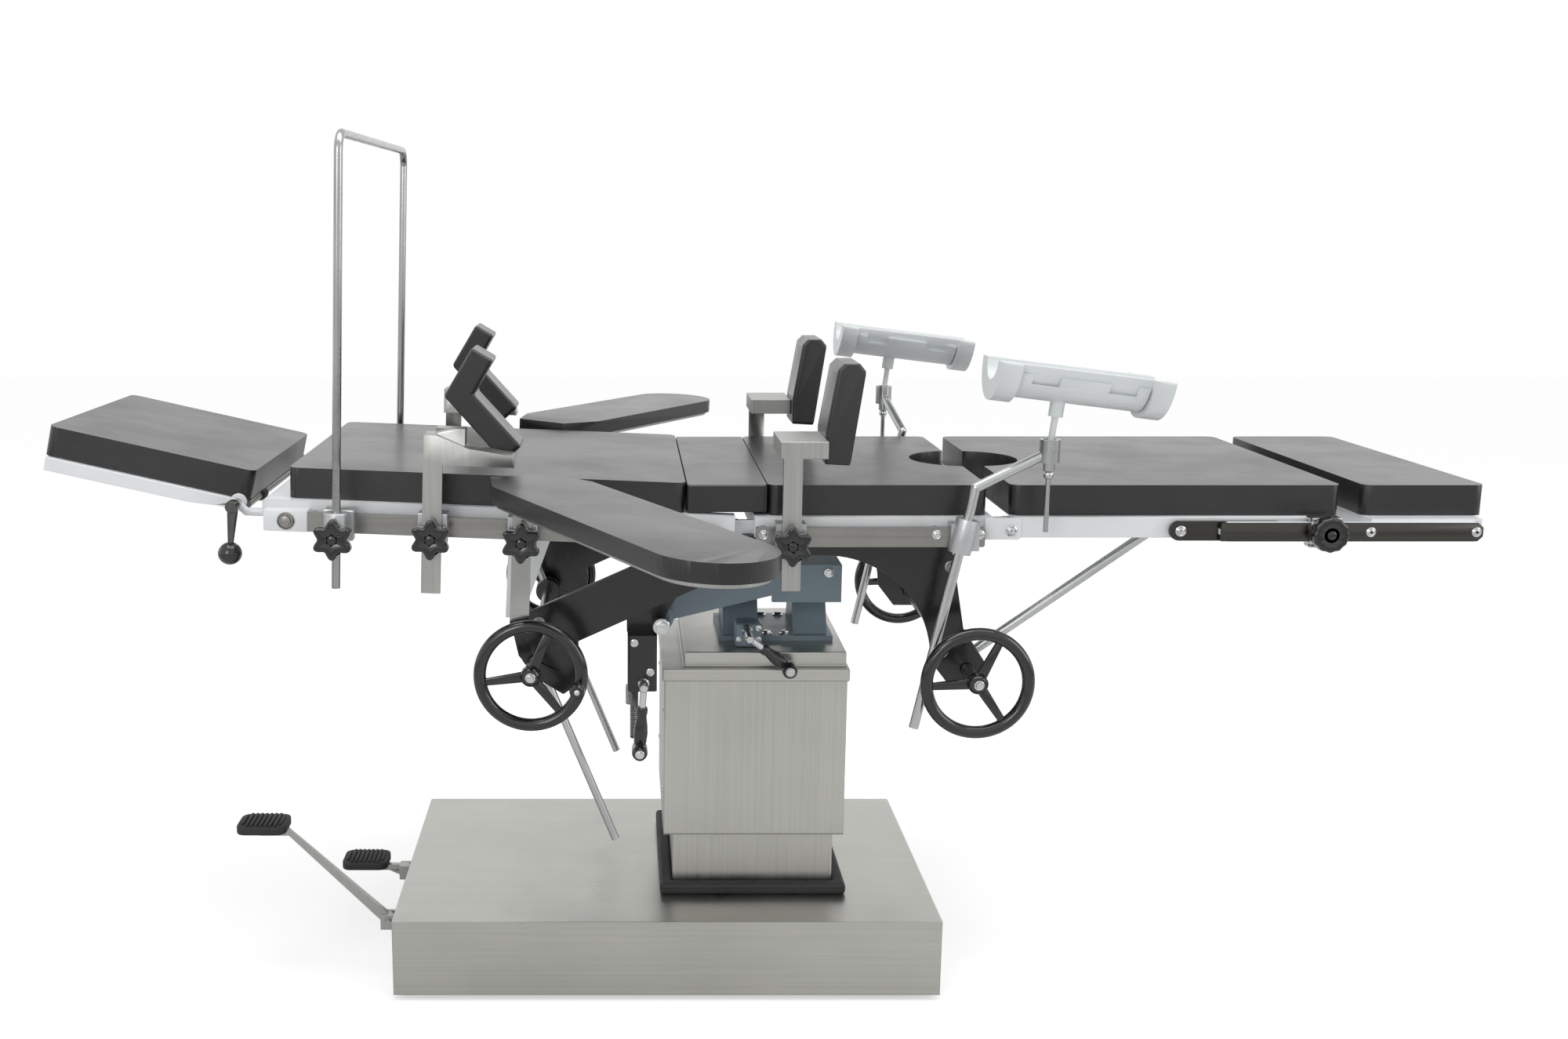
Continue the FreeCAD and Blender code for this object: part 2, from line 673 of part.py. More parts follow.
def seat_pad():
    blank = cushion("seat_pad_blank", "fold_right", "seat_pad_end", "pad_half", "pad_low",
                    "pad_low + pad_t")
    notch = rod("seat_pad_notch", "notch_r", ("notch_x", "0", "pad_low - 5"),
                ("notch_x", "0", "pad_low + pad_t + 5"))
    return cut("seat_pad", blank, notch)


node("seat_pad", seat_pad())
node("fold_pad",
     box("fold_pad", ("fold_left + gap", "fold_right - gap"), ("-pad_half", "pad_half"),
         ("pad_low + 4", "pad_low + pad_t")))

# Back section, modelled flat about its hinge and then leaned
BACK = {
    "back_lean": 2.3,
    "back_far": -671,
    "head_tube_r": 6,
    "head_dip": 12,
    "head_dip_run": 14,
    "back_tube_low": -7,
    "back_rail_low": -18,
    "back_lever_x": -316,
    "back_lever_z": -135,
    "back_lever_in": 178,
    "back_lever_t": 6,
    "rod_y": 200,
}
enter(BACK)
back_pivot = ("back_x", "back_z")


def back_frame():
    right = "-3"
    tube = box("back_tube", ("back_far", right), ("tube_in", "tube_in + tube"),
               ("back_tube_low", "back_tube_low + tube"))
    inner = "tube_in - 2*hinge_t - gap"
    lug = frame_lug("back_lug", "0", "0", "-80", inner)
    block = box("back_lug_block", ("-80", "-44"), (inner, "tube_in"), ("-7", "hinge_r"))
    bore = rod("back_lug_bore", "hinge_pin_r + play", ("0", "tube_in - 3*hinge_t - 2", "0"),
               ("0", "tube_in", "0"))
    knuckle = cut("back_knuckle", join("back_knuckle_solid", lug, block), bore)
    cross_a = box("back_cross_a", ("-110", "-80"), ("-tube_in", "tube_in"),
                  ("back_tube_low", "back_tube_low + tube - panel_t"))
    cross_b = box("back_cross_b", ("back_far", "back_far + tube"), ("-tube_in", "tube_in"),
                  ("back_tube_low", "back_tube_low + tube - panel_t"))
    panel = box("back_panel", ("back_far", "-72"), ("-tube_in", "tube_in"),
                ("back_tube_low + tube - panel_t", "back_tube_low + tube"))
    bracket = head_bracket()
    lever_outline = [("back_lever_x - 12", "back_lever_z - 12"), ("back_lever_x + 12", "back_lever_z - 12"),
                     ("back_lever_x + 60", "back_tube_low + 10"),
                     ("back_lever_x - 10", "back_tube_low + 10")]
    lever_a = plate("back_lever_a", "XZ", lever_outline, "back_lever_t", "-back_lever_in - back_lever_t/2")
    lever_b = plate("back_lever_b", "XZ", lever_outline, "back_lever_t", "back_lever_t/2 - tube_in + 8")
    lever_beam = box("back_lever_beam", ("back_lever_x - 10", "back_lever_x + 60"), ("-tube_in", "tube_in"),
                     ("back_tube_low + 4", "back_tube_low + tube - panel_t"))
    return join("back_frame", tube, twin(tube), knuckle, twin(knuckle), cross_a, cross_b, panel, lever_a,
                twin(lever_a), lever_b, twin(lever_b), lever_beam, bracket, twin(bracket))


def back_rails():
    return rail_set("back_rails", "-649", "-22", ["-600", "-60"], "back_rail_low")


def head_bracket():
    """A bent round bar out of the back frame's end that carries the head section's hinge bolt."""
    inner = "head_bar_in + head_bar_t + gap"
    middle = inner + " + head_tube_r"
    route = [("head_hinge_x", "head_hinge_z"), ("head_hinge_x + head_dip_run", "head_hinge_z - head_dip"),
             ("back_far - head_dip_run", "head_hinge_z - head_dip"), ("back_far + 2", "head_hinge_z")]
    solids = []
    for leg in range(3):
        low, high = [(x, middle, z) for x, z in route[leg:leg + 2]]
        solids.append(rod("head_bracket_run_%d" % leg, "head_tube_r", low, high))
        solids.append(ball("head_bracket_bend_%d" % leg, "head_tube_r", low))
    foot = box("head_bracket_foot", ("back_far - 8", "back_far + 2"), (inner, "tube_in + 12"),
               ("head_hinge_z - 10", "head_hinge_z + 10"))
    bolt = rod("head_bracket_bolt", "head_bolt_r", ("head_hinge_x", "head_bar_in", "head_hinge_z"),
               ("head_hinge_x", inner + " + 20", "head_hinge_z"))
    return join("head_bracket", foot, bolt, *solids)


HEAD_HINGE = {
    "head_hinge_x": -722,
    "head_hinge_z": 6,
    "head_bar_in": 201,
    "head_bar_t": 8,
    "head_bolt_r": 5,
    "head_lean": 12.8,
}
enter(HEAD_HINGE)

node("back_frame", back_frame(), back_pivot, "back_lean")
node("back_rails", back_rails(), back_pivot, "back_lean")
node("back_pad",
     cushion("back_pad", "back_far + 31", "fold_left - back_x - 4", "pad_half", "back_tube_low + tube",
             "back_tube_low + tube + pad_t"), back_pivot, "back_lean")

# Head section, modelled flat about its own hinge
HEAD = {
    "head_half": 200,
    "head_left": -289,
    "head_right": 14,
    "head_pad_low": 4,
    "head_pad_t": 44,
    "head_bar_h": 20,
    "head_eye_r": 12,
}
enter(HEAD)
head_pivot = ("back_x + head_hinge_x*cos(back_lean) + head_hinge_z*sin(back_lean)",
              "back_z - head_hinge_x*sin(back_lean) + head_hinge_z*cos(back_lean)")


def head_frame():
    outline = [("head_left + 6", "head_pad_low - head_bar_h"), ("-70", "head_pad_low - head_bar_h"),
               ("-30", "-head_eye_r"), ("0", "-head_eye_r"), ("0", "head_pad_low"),
               ("head_left + 6", "head_pad_low")]
    bar = plate("head_bar", "XZ", outline, "head_bar_t", "head_bar_in + head_bar_t/2")
    eye = rod("head_eye", "head_eye_r", ("0", "head_bar_in", "0"), ("0", "head_bar_in + head_bar_t", "0"))
    bore = rod("head_bore", "head_bolt_r + play", ("0", "head_bar_in - 2", "0"),
               ("0", "head_bar_in + head_bar_t + 2", "0"))
    side = cut("head_side", join("head_side_solid", bar, eye), bore)
    panel = box("head_panel", ("head_left + 6", "-16"), ("-head_bar_in", "head_bar_in"),
                ("-2", "head_pad_low"))
    return join("head_frame", side, twin(side), panel)


def head_lock_lever():
    collar = rod("lock_collar", "9", ("0", "-head_bar_in - head_bar_t - 36", "0"),
                 ("0", "-head_bar_in - head_bar_t - 21", "0"))
    stem = rod("lock_stem", "5", ("0", "-head_bar_in - head_bar_t - 30", "0"),
               ("-2", "-head_bar_in - head_bar_t - 30", "-60"))
    knob = ball("lock_ball", "17", ("-2", "-head_bar_in - head_bar_t - 30", "-68"))
    return join("head_lock_lever", collar, stem, knob)


node("head_frame", head_frame(), head_pivot, "head_lean")
node("head_pad",
     cushion("head_pad", "head_left", "head_right", "head_half", "head_pad_low",
             "head_pad_low + head_pad_t"),
     head_pivot, "head_lean")
node("head_lock_lever", head_lock_lever(), head_pivot, "0")

# Drives: on each shaft a swivel block, a push rod through it, and two handwheels
DRIVES = {
    "block_half": 15,
    "block_r": 20,
    "rod_r": 6,
    "rod_down": 316,
    "leg_rod_r": 7,
    "leg_rod_down": 20,
    "rod_eye_r": 11,
    "rod_eye_half": 8,
    "wheel_r": 72,
    "rim_r": 9,
    "wheel_in": 311,
    "hub_r": 13,
    "hub_bolt_r": 5,
    "spoke_hub": 16,
    "spoke_rim": 11,
    "spoke_t": 7,
    "wheel_grip_r": 11,
    "wheel_grip_out": 26,
    "leg_lug_x": 578,
    "leg_lug_z": 722,
}
enter(DRIVES)


def push_line(side, top, down):
    """The lower and upper end of a push rod whose line crosses its shaft's axis."""
    x, z = (side + "_shaft_x", side + "_shaft_z")
    run = "((%s) - %s)" % (top[0], x)
    rise = "((%s) - %s)" % (top[1], z)
    share = "%s / hypot(%s; %s)" % (down, run, rise)
    low = ("%s - %s*%s" % (x, run, share), "-rod_y", "%s - %s*%s" % (z, rise, share))
    return low, (top[0], "-rod_y", top[1])


def drive_block(name, side, line, radius):
    """A trunnion block on the drive axis, bored through for its push rod."""
    x, z = (side + "_shaft_x", side + "_shaft_z")
    body = rod(name + "_body", "block_r", (x, "-rod_y - block_half", z), (x, "-rod_y + block_half", z))
    return cut(name, body, rod(name + "_bore", radius + " + play", *line))


def push_rod(name, radius, line):
    """A straight rod with a round eye at its upper end."""
    top = line[1]
    eye = rod(name + "_eye", "rod_eye_r", (top[0], "-rod_y - rod_eye_half", top[2]),
              (top[0], "-rod_y + rod_eye_half", top[2]))
    return join(name, rod(name + "_bar", radius, *line), eye)


def spoke(name, x, z, angle):
    """A flat spoke that tapers from a wheel's hub out to its rim."""
    piece = doc.addObject("Part::Wedge", name)
    for prop, text in (("Xmin", "-spoke_hub/2"), ("Xmax", "spoke_hub/2"), ("X2min", "-spoke_rim/2"),
                       ("X2max", "spoke_rim/2"), ("Ymin", "0"), ("Ymax", "wheel_r"), ("Zmin", "-spoke_t/2"),
                       ("Zmax", "spoke_t/2"), ("Z2min", "-spoke_t/2"), ("Z2max", "spoke_t/2")):
        bind(piece, prop, text)
    turn = "rotation(vector(0; 1; 0); 90 - (%s)) * rotation(vector(1; 0; 0); 90)" % angle
    bind(piece, "Placement", "placement(vector(%s; -wheel_in - rim_r; %s); %s)" % (x, z, turn))
    return piece


def wheel(name, x, z, first, with_grip):
    """One handwheel at the near side: rim, three spokes, hub and bolt, and a grip if it has one."""
    solids = [ring(name + "_rim", "wheel_r", "rim_r", (x, "-wheel_in - rim_r", z)),
              rod(name + "_hub", "hub_r", (x, "-wheel_in - 2*rim_r", z), (x, "-wheel_in", z)),
              rod(name + "_bolt", "hub_bolt_r", (x, "-wheel_in - 2*rim_r - hub_bolt_r", z),
                  (x, "-wheel_in", z))]
    for turn in range(3):
        solids.append(spoke("%s_spoke_%d" % (name, turn), x, z, "%d + %d * 120" % (first, turn)))
    if with_grip:
        across, up = ("%s + (wheel_r - rim_r/2) * cos(-12)" % x, "%s + (wheel_r - rim_r/2) * sin(-12)" % z)
        tip = "-wheel_in - 2*rim_r - wheel_grip_out"
        root = "-wheel_in - rim_r"
        solids.append(rod(name + "_grip", "wheel_grip_r", (across, tip, up), (across, root, up)))
    return join(name, *solids)


def wheel_pair(name, side, first, with_grip, far_block):
    """Near and far wheels on one axis, whose shaft is parted by each swivel block on it."""
    x, z = (side + "_shaft_x", side + "_shaft_z")
    near = wheel(name + "_near", x, z, first, with_grip)
    stub = rod(name + "_stub", "shaft_r", (x, "-wheel_in", z), (x, "-rod_y - block_half - gap", z))
    near_set = join(name + "_near_set", near, stub)
    middle = (x, "-rod_y + block_half + gap", z)
    if far_block:
        shaft = rod(name + "_shaft", "shaft_r", middle, (x, "rod_y - block_half - gap", z))
        return group(name, near_set, twin(near_set), shaft)
    shaft = rod(name + "_shaft", "shaft_r", middle, (x, "wheel_in", z))
    return group(name, near_set, join(name + "_far_set", twin(near), shaft))


back_top = ("back_x + back_lever_x*cos(back_lean) + back_lever_z*sin(back_lean)",
            "back_z - back_lever_x*sin(back_lean) + back_lever_z*cos(back_lean)")
back_line = push_line("left", back_top, "rod_down")
leg_line = push_line("right", ("leg_lug_x", "leg_lug_z"), "leg_rod_down")
node("back_drive_block", both("back_drive_block", drive_block("back_block", "left", back_line, "rod_r")))
node("back_push_rod", both("back_push_rod", push_rod("back_rod", "rod_r", back_line)))
node("back_handwheels", wheel_pair("back_handwheels", "left", 68, True, True))
node("leg_drive_block", drive_block("leg_drive_block", "right", leg_line, "leg_rod_r"))
node("leg_push_rod", push_rod("leg_push_rod", "leg_rod_r", leg_line))
node("leg_handwheels", wheel_pair("leg_handwheels", "right", 64, False, False))

# Leg section and its sliding foot end
LEG = {
    "leg_right": 812,
    "leg_pad_left": 350,
    "leg_pad_right": 821,
    "leg_notch_r": 78,
    "leg_notch_x": 340,
    "ear_t": 5,
    "foot_bar_left": 640,
    "foot_right": 1012,
    "foot_pad_left": 852,
    "foot_pad_right": 1026,
    "slide_in": 266,
    "slide_t": 7,
    "slide_h": 28,
    "slide_low": 716,
    "foot_knob_x": 787,
}
enter(LEG)


def leg_frame():
    left = "leg_x + 4"
    tube = side_tube("leg_tube", left, "leg_right")
    inner = "tube_in - 2*hinge_t - gap"
    lug = frame_lug("leg_lug", "leg_x", "leg_z", "70", inner)
    block = box("leg_lug_block", ("leg_x + 36", "leg_x + 70"), (inner, "tube_in"),
                ("leg_z - 7", "leg_z + hinge_r"))
    bore = rod("leg_lug_bore", "hinge_pin_r + play", ("leg_x", "tube_in - 3*hinge_t - 2", "leg_z"),
               ("leg_x", "tube_in", "leg_z"))
    knuckle = cut("leg_knuckle", join("leg_knuckle_solid", lug, block), bore)
    crosses = []
    for name, x in (("a", "leg_notch_x + leg_notch_r + 10"), ("b", "leg_lug_x + tube + 2"),
                    ("c", "leg_right - tube")):
        crosses.append(box("leg_cross_" + name, (x, x + " + tube"), ("-tube_in", "tube_in"),
                           ("tube_under", "tube_under + tube - panel_t")))
    panel = box("leg_panel_block", (left, "leg_right"), ("-tube_in", "tube_in"),
                ("tube_under + tube - panel_t", "tube_under + tube"))
    notch = rod("leg_panel_notch", "leg_notch_r + 6", ("leg_notch_x", "0", "tube_under"),
                ("leg_notch_x", "0", "tube_under + 2*tube"))
    ears = []
    for name, low in (("a", "-rod_y - rod_eye_half - gap - ear_t"), ("b", "-rod_y + rod_eye_half + gap")):
        ears.append(box("leg_ear_" + name, ("leg_lug_x - 12", "leg_lug_x + tube + 2"),
                        (low, low + " + ear_t"),
                        ("leg_lug_z - 14", "tube_under + tube - panel_t")))
    return join("leg_frame", tube, twin(tube), knuckle, twin(knuckle), cut("leg_panel", panel, notch),
                *crosses, *ears)


def leg_slides():
    """Dark flat bars on the leg frame's sides, in which the foot section's bars slide."""
    outline = [("572", "slide_low"), ("735", "slide_low"), ("735", "slide_low + slide_h"),
               ("572", "slide_low + slide_h")]
    bar = plate("leg_slide_bar", "XZ", outline, "slide_t", "slide_in + slide_t/2")
    soften(bar, "slide_h/2 - 0.5", runs_along("y"))
    post = rod("leg_slide_post", "spacer_r", ("587", "tube_in + tube", "slide_low + slide_h/2"),
               ("587", "slide_in", "slide_low + slide_h/2"))
    outer = "slide_in + 2*slide_t + 2*gap"
    tail = box("foot_clamp_tail", ("730", "foot_knob_x"), ("slide_in", "slide_in + slide_t"),
               ("slide_low + 7", "slide_low + slide_h - 7"))
    ring_block = box("foot_clamp_block", ("foot_knob_x - 20", "foot_knob_x + 20"),
                     ("slide_in", outer + " + 6"),
                     ("slide_low - 6", "slide_low + slide_h + 6"))
    way = box("foot_clamp_way", ("foot_knob_x - 25", "foot_knob_x + 25"), ("slide_in + slide_t", outer),
              ("slide_low - gap", "slide_low + slide_h + gap"))
    return both("leg_slides", join("leg_slide", bar, post, tail, cut("foot_clamp", ring_block, way)))


def foot_frame():
    low = "slide_in + slide_t + gap"
    outline = [("foot_bar_left", "slide_low"), ("foot_right", "slide_low"),
               ("foot_right", "slide_low + slide_h"), ("foot_bar_left", "slide_low + slide_h")]
    bar = plate("foot_bar", "XZ", outline, "slide_t", low + " + slide_t/2")
    soften(bar, "slide_h/2 - 0.5", runs_along("y"))
    side = join("foot_side", bar,
                box("foot_side_tube", ("foot_pad_left + 4", "foot_right"), ("tube_in", low + " + 1"),
                    ("tube_under", "tube_under + tube")))
    cross_a = box("foot_cross_a", ("foot_pad_left + 4", "foot_pad_left + 34"), ("-tube_in", "tube_in"),
                  ("tube_under", "tube_under + tube"))
    cross_b = box("foot_cross_b", ("foot_right - 30", "foot_right"), ("-tube_in", "tube_in"),
                  ("tube_under", "tube_under + tube"))
    panel = box("foot_panel", ("foot_pad_left + 30", "foot_right - 26"), ("-tube_in", "tube_in"),
                ("tube_under + tube - panel_t", "tube_under + tube"))
    return join("foot_frame", side, twin(side), cross_a, cross_b, panel)


def leg_pad():
    blank = cushion("leg_pad_blank", "leg_pad_left", "leg_pad_right", "pad_half", "pad_low",
                    "pad_low + pad_t")
    notch = rod("leg_pad_notch", "leg_notch_r", ("leg_notch_x", "0", "pad_low - 5"),
                ("leg_notch_x", "0", "pad_low + pad_t + 5"))
    return cut("leg_pad", blank, notch)


node("leg_frame", leg_frame())
node("leg_slides", leg_slides())
node("leg_pad", leg_pad())
node("foot_frame", foot_frame())
node("foot_pad",
     cushion("foot_pad", "foot_pad_left", "foot_pad_right", "pad_half", "pad_low", "pad_low + pad_t"))

# Rail clamps and their star knobs
CLAMPS = {
    "clamp_w": 42,
    "clamp_wall": 6,
    "knob_r": 20,
    "knob_lobe_r": 9,
    "knob_t": 20,
    "clamp_front": 300,
}
enter(CLAMPS)


def rail_clamp(name, x, rail_low):
    """A clamp block hooked round a near side rail, with the accessory's channel outside it."""
    outer = "rail_in + rail_t"
    block = box(name + "_block", (x + " - clamp_w/2", x + " + clamp_w/2"),
                ("-clamp_front", "-(%s) - gap" % outer),
                (rail_low + " - 8", rail_low + " + rail_h + 8"))
    top = box(name + "_hook", (x + " - clamp_w/2", x + " + clamp_w/2"), ("-clamp_front", "-rail_in + 6"),
              (rail_low + " + rail_h + gap", rail_low + " + rail_h + 8"))
    lip = box(name + "_lip", (x + " - clamp_w/2", x + " + clamp_w/2"), ("-rail_in + gap", "-rail_in + 6"),
              (rail_low + " + rail_h - 5", rail_low + " + rail_h + 8"))
    return join(name, block, top, lip)


def star_knob(name, x, z, front):
    """A six-lobed knob on the near side, its back face against what it clamps."""
    solids = [rod(name + "_hub", "knob_r", (x, front, z), (x, front + " - knob_t", z))]
    for lobe in range(6):
        spot = ("%s + knob_r*cos(%d)" % (x, 90 + 60 * lobe), "%s + knob_r*sin(%d)" % (z, 90 + 60 * lobe))
        solids.append(rod("%s_lobe_%d" % (name, lobe), "knob_lobe_r", (spot[0], front, spot[1]),
                          (spot[0], front + " - knob_t", spot[1])))
    return join(name, *solids)


# Screen hoop over the head end, in two clamps on the back rails
HOOP = {
    "hoop_x": -560,
    "hoop_y": 316,
    "hoop_low": -90,
    "hoop_high": 530,
    "knob_drop": 11,
    "hoop_r": 6,
    "hoop_bend": 26,
    "socket_r": 17,
    "shoulder_x": -429,
    "armboard_x": -303,
    "body_x": 33,
}
enter(HOOP)


def screen_hoop():
    post = rod("hoop_post", "hoop_r", ("hoop_x", "hoop_y", "hoop_low"),
               ("hoop_x", "hoop_y", "hoop_high - hoop_bend"))
    bend = elbow("hoop_elbow", "hoop_bend", "hoop_r",
                 ("hoop_x", "hoop_y - hoop_bend", "hoop_high - hoop_bend"))
    bar = rod("hoop_bar", "hoop_r", ("hoop_x", "-hoop_y + hoop_bend", "hoop_high"),
              ("hoop_x", "hoop_y - hoop_bend", "hoop_high"))
    return join("screen_hoop", post, twin(post), bend, twin(bend), bar)


def back_clamps():
    """Three clamps on each of the back section's rails; the hoop's have a socket."""
    solids = []
    for name, x in (("hoop", "hoop_x"), ("shoulder", "shoulder_x"), ("armboard", "armboard_x")):
        clamp = rail_clamp("clamp_" + name, x, "back_rail_low")
        if name == "hoop":
            socket = rod("hoop_socket", "socket_r", (x, "-hoop_y", "back_rail_low - 8"),
                         (x, "-hoop_y", "back_rail_low + rail_h + 8"))
            bore = rod("hoop_bore", "hoop_r + play", (x, "-hoop_y", "back_rail_low - 20"),
                       (x, "-hoop_y", "back_rail_low + rail_h + 20"))
            clamp = cut("clamp_hoop_bored", join("clamp_hoop_solid", clamp, socket), bore)
        solids += [clamp, twin(clamp)]
    return group("back_clamps", *solids)


node("screen_hoop", screen_hoop(), back_pivot, "back_lean")
node("back_clamps", back_clamps(), back_pivot, "back_lean")
node("screen_knob",
     star_knob("screen_knob", "hoop_x", "back_rail_low + rail_h/2 - knob_drop", "-hoop_y - socket_r - gap"),
     back_pivot, "back_lean")


# Near supports on the back section
SUPPORTS = {
    "bar_w": 27,
    "bar_t": 6,
    "far_shift": -35,
    "shoulder_pad_in": 182,
    "shoulder_pad_out": 258,
    "gusset_in": 262,
}
enter(SUPPORTS)


def flat_bar(name, x, low, high):
    """The upright flat bar that slides outside a near clamp."""
    return box(name, (x + " - bar_w/2", x + " + bar_w/2"),
               ("-clamp_front - gap - bar_t", "-clamp_front - gap"), (low, high))


def shoulder_support(name, shift):
    """Flat bar, white gusset and the bent cushion that holds a shoulder."""
    def at(x):
        return "%d + %s" % (x, shift)
    bar = flat_bar(name + "_bar", "shoulder_x + " + shift, "-95", "95")
    gusset_outline = [(at(-442), "88"), (at(-316), "88"), (at(-320), "104"), (at(-380), "112"),
                      (at(-424), "129"), (at(-442), "129")]
    gusset = plate(name + "_gusset", "XZ", gusset_outline, "clamp_front + gap + bar_t - gusset_in",
                   "-(clamp_front + gap + bar_t + gusset_in)/2")
    knuckle = box(name + "_knuckle", (at(-426), at(-386)), ("-gusset_in - 34", "-gusset_in - 6"),
                  ("104", "138"))
    boss = rod(name + "_boss", "6", (at(-324), "-gusset_in", "97"), (at(-324), "-shoulder_pad_out", "97"))
    pad_outline = [(at(-334), "87"), (at(-310), "111"), (at(-379), "182"), (at(-353), "231"),
                   (at(-383), "247"), (at(-421), "178")]
    pad = plate(name + "_cushion", "XZ", pad_outline, "shoulder_pad_out - shoulder_pad_in",
                "-(shoulder_pad_out + shoulder_pad_in)/2")
    return [join(name + "_metal", bar, gusset, knuckle, boss), pad]


ARMBOARDS = {
    "board_z": 46,
    "board_t": 6,
    "board_pad_t": 24,
    "board_half": 75,
    "board_tail": 12,
    "board_neck": 45,
    "board_widen": 60,
    "board_len": 495,
    "board_angle": 61,
    "post_r": 9,
}
enter(ARMBOARDS)


def armboard():
    """A board along +X from its pivot, with a round outer end, and the cushion on it."""
    def outline(inset):
        tail, neck, side = ("-board_tail + " + inset, "board_neck - " + inset, "board_half - " + inset)
        return [(tail, "-(%s)" % neck), ("board_widen", "-(%s)" % side), ("board_len", "-(%s)" % side),
                ("board_len", side), ("board_widen", side), (tail, neck)]
    low = "board_z + board_t"
    panel = plate("board_panel", "XY", outline("8"), "board_t", "board_z + board_t/2")
    panel_end = rod("board_panel_end", "board_half - 8", ("board_len", "0", "board_z"),
                    ("board_len", "0", low))
    pivot = rod("board_pivot", "16", ("0", "0", "board_z - 14"), ("0", "0", "board_z"))
    pad = plate("board_pad", "XY", outline("0"), "board_pad_t", low + " + board_pad_t/2")
    pad_end = rod("board_pad_end", "board_half", ("board_len", "0", low),
                  ("board_len", "0", low + " + board_pad_t"))
    return group("armboard_flat", join("board_metal", panel, panel_end, pivot),
                 join("board_cushion", pad, pad_end))


def placed_board(name, flat):
    """The board swung out from its post on the near side; both solids keep their shapes."""
    board = group(name, flat)
    spot = "vector(armboard_x; -clamp_front - bar_t/2; 0)"
    bind(board, "Placement", "placement(%s; rotation(vector(0; 0; 1); 0 - board_angle))" % spot)
    return board


def armboard_post(name):
    bar = flat_bar(name + "_bar", "armboard_x", "-140", "board_z - 20")
    pin = rod(name + "_pin", "post_r", ("armboard_x", "-clamp_front - gap - bar_t/2", "board_z - 26"),
              ("armboard_x", "-clamp_front - gap - bar_t/2", "board_z - 14 - gap"))
    return join(name, bar, pin)


near_board = placed_board("near_board_out", armboard())
post = armboard_post("armboard_post")
near_shoulder = shoulder_support("near_shoulder", "0")
far_shoulder = shoulder_support("far_shoulder", "far_shift")
node("near_armboard", group("near_armboard", near_board), back_pivot, "back_lean")
node("far_armboard", group("far_armboard", twin(near_board)), back_pivot, "back_lean")
node("armboard_posts", both("armboard_posts", post), back_pivot, "back_lean")
node("near_shoulder_support", group("near_shoulder_support", *near_shoulder), back_pivot, "back_lean")
node("far_shoulder_support", group("far_shoulder_support", *[twin(solid) for solid in far_shoulder]),
     back_pivot, "back_lean")
node("shoulder_knob",
     star_knob("shoulder_knob", "shoulder_x", "back_rail_low + rail_h/2 - knob_drop",
               "-clamp_front - gap - bar_t - gap"), back_pivot, "back_lean")
node("armboard_knob",
     star_knob("armboard_knob", "armboard_x", "back_rail_low + rail_h/2 - knob_drop",
               "-clamp_front - gap - bar_t - gap"), back_pivot, "back_lean")

# Seat rail clamps, body supports and leg crutches
CRUTCHES = {
    "crutch_x": 284,
    "crutch_y": 293.5,
    "crutch_rod_r": 7,
    "crutch_low_x": 215,
    "crutch_low_z": 446,
    "crutch_bend_x": 290,
    "crutch_bend_z": 796,
    "crutch_top_x": 390,
    "crutch_top_z": 846,
    "far_top_x": 272,
    "far_top_y": 398,
    "shell_r": 52,
    "shell_t": 4,
    "shell_half": 88,
    "crutch_pad_t": 16,
    "crutch_pad_half": 118,
    "shell_rise": 114,
    "shell_rim": -15,
    "shell_shift": 20,
    "flare": 8,
    "strap_edge": 16,
    "strap_notch": 38,
    "strap_deep": 13,
    "crutch_lean": 7,
    "joint_rise": 8,
    "joint_r": 9,
    "tilt_pin_r": 3,
    "stem_r": 4.5,
    "stem_boss_r": 10,
    "stem_boss_h": 20,
    "cup_r": 14,
    "cup_up": 10,
    "cup_down": 14,
    "cup_mouth_r": 11,
    "lock_nut_r": 8,
    "lock_nut_h": 12,
    "lock_eye_r": 7,
    "lock_rod_r": 3.5,
    "lock_reach": 113,
}
enter(CRUTCHES)


def body_support(name):
    bar = flat_bar(name + "_bar", "body_x", "650", "840")
    arm = box(name + "_arm", ("body_x - 18", "82"), ("-clamp_front - gap - bar_t", "-196"), ("838", "862"))
    pad_outline = [("82", "824"), ("118", "822"), ("137", "955"), ("128", "966"), ("106", "966"),
                   ("97", "957"), ("82", "868")]
    pad = plate(name + "_cushion", "XZ", pad_outline, "100", "-218")
    return [join(name + "_metal", bar, arm), pad]


def seat_clamps():
    clamp = rail_clamp("body_clamp", "body_x", "rail_low")
    slope = "(crutch_bend_x - crutch_low_x) / (crutch_bend_z - crutch_low_z)"
    low_z = "rail_low - 6"
    high_z = "rail_low + rail_h + 14"
    low_x = "crutch_low_x + (%s - crutch_low_z) * %s" % (low_z, slope)
    high_x = "crutch_low_x + (%s - crutch_low_z) * %s" % (high_z, slope)
    barrel = rod("crutch_barrel", "16", (low_x, "-crutch_y", low_z), (high_x, "-crutch_y", high_z))
    saddle = box("crutch_saddle", ("crutch_x - 26", "crutch_x + 14"), ("-crutch_y", "-rail_in + 6"),
                 ("rail_low - 4", "rail_low + rail_h + 7"))
    bore = rod("crutch_bore", "crutch_rod_r + play", ("crutch_low_x", "-crutch_y", "crutch_low_z"),
               ("crutch_bend_x", "-crutch_y", "crutch_bend_z"))
    way = box("crutch_way", ("crutch_x - 60", "crutch_x + 60"),
              ("-rail_in - rail_t - gap", "-rail_in + 20"), ("rail_low - 20", "rail_low + rail_h + gap"))
    crutch_clamp = cut("crutch_clamp", join("crutch_clamp_solid", barrel, saddle),
                       join("crutch_clamp_cuts", bore, way))
    return group("seat_clamps", clamp, twin(clamp), crutch_clamp, twin(crutch_clamp))


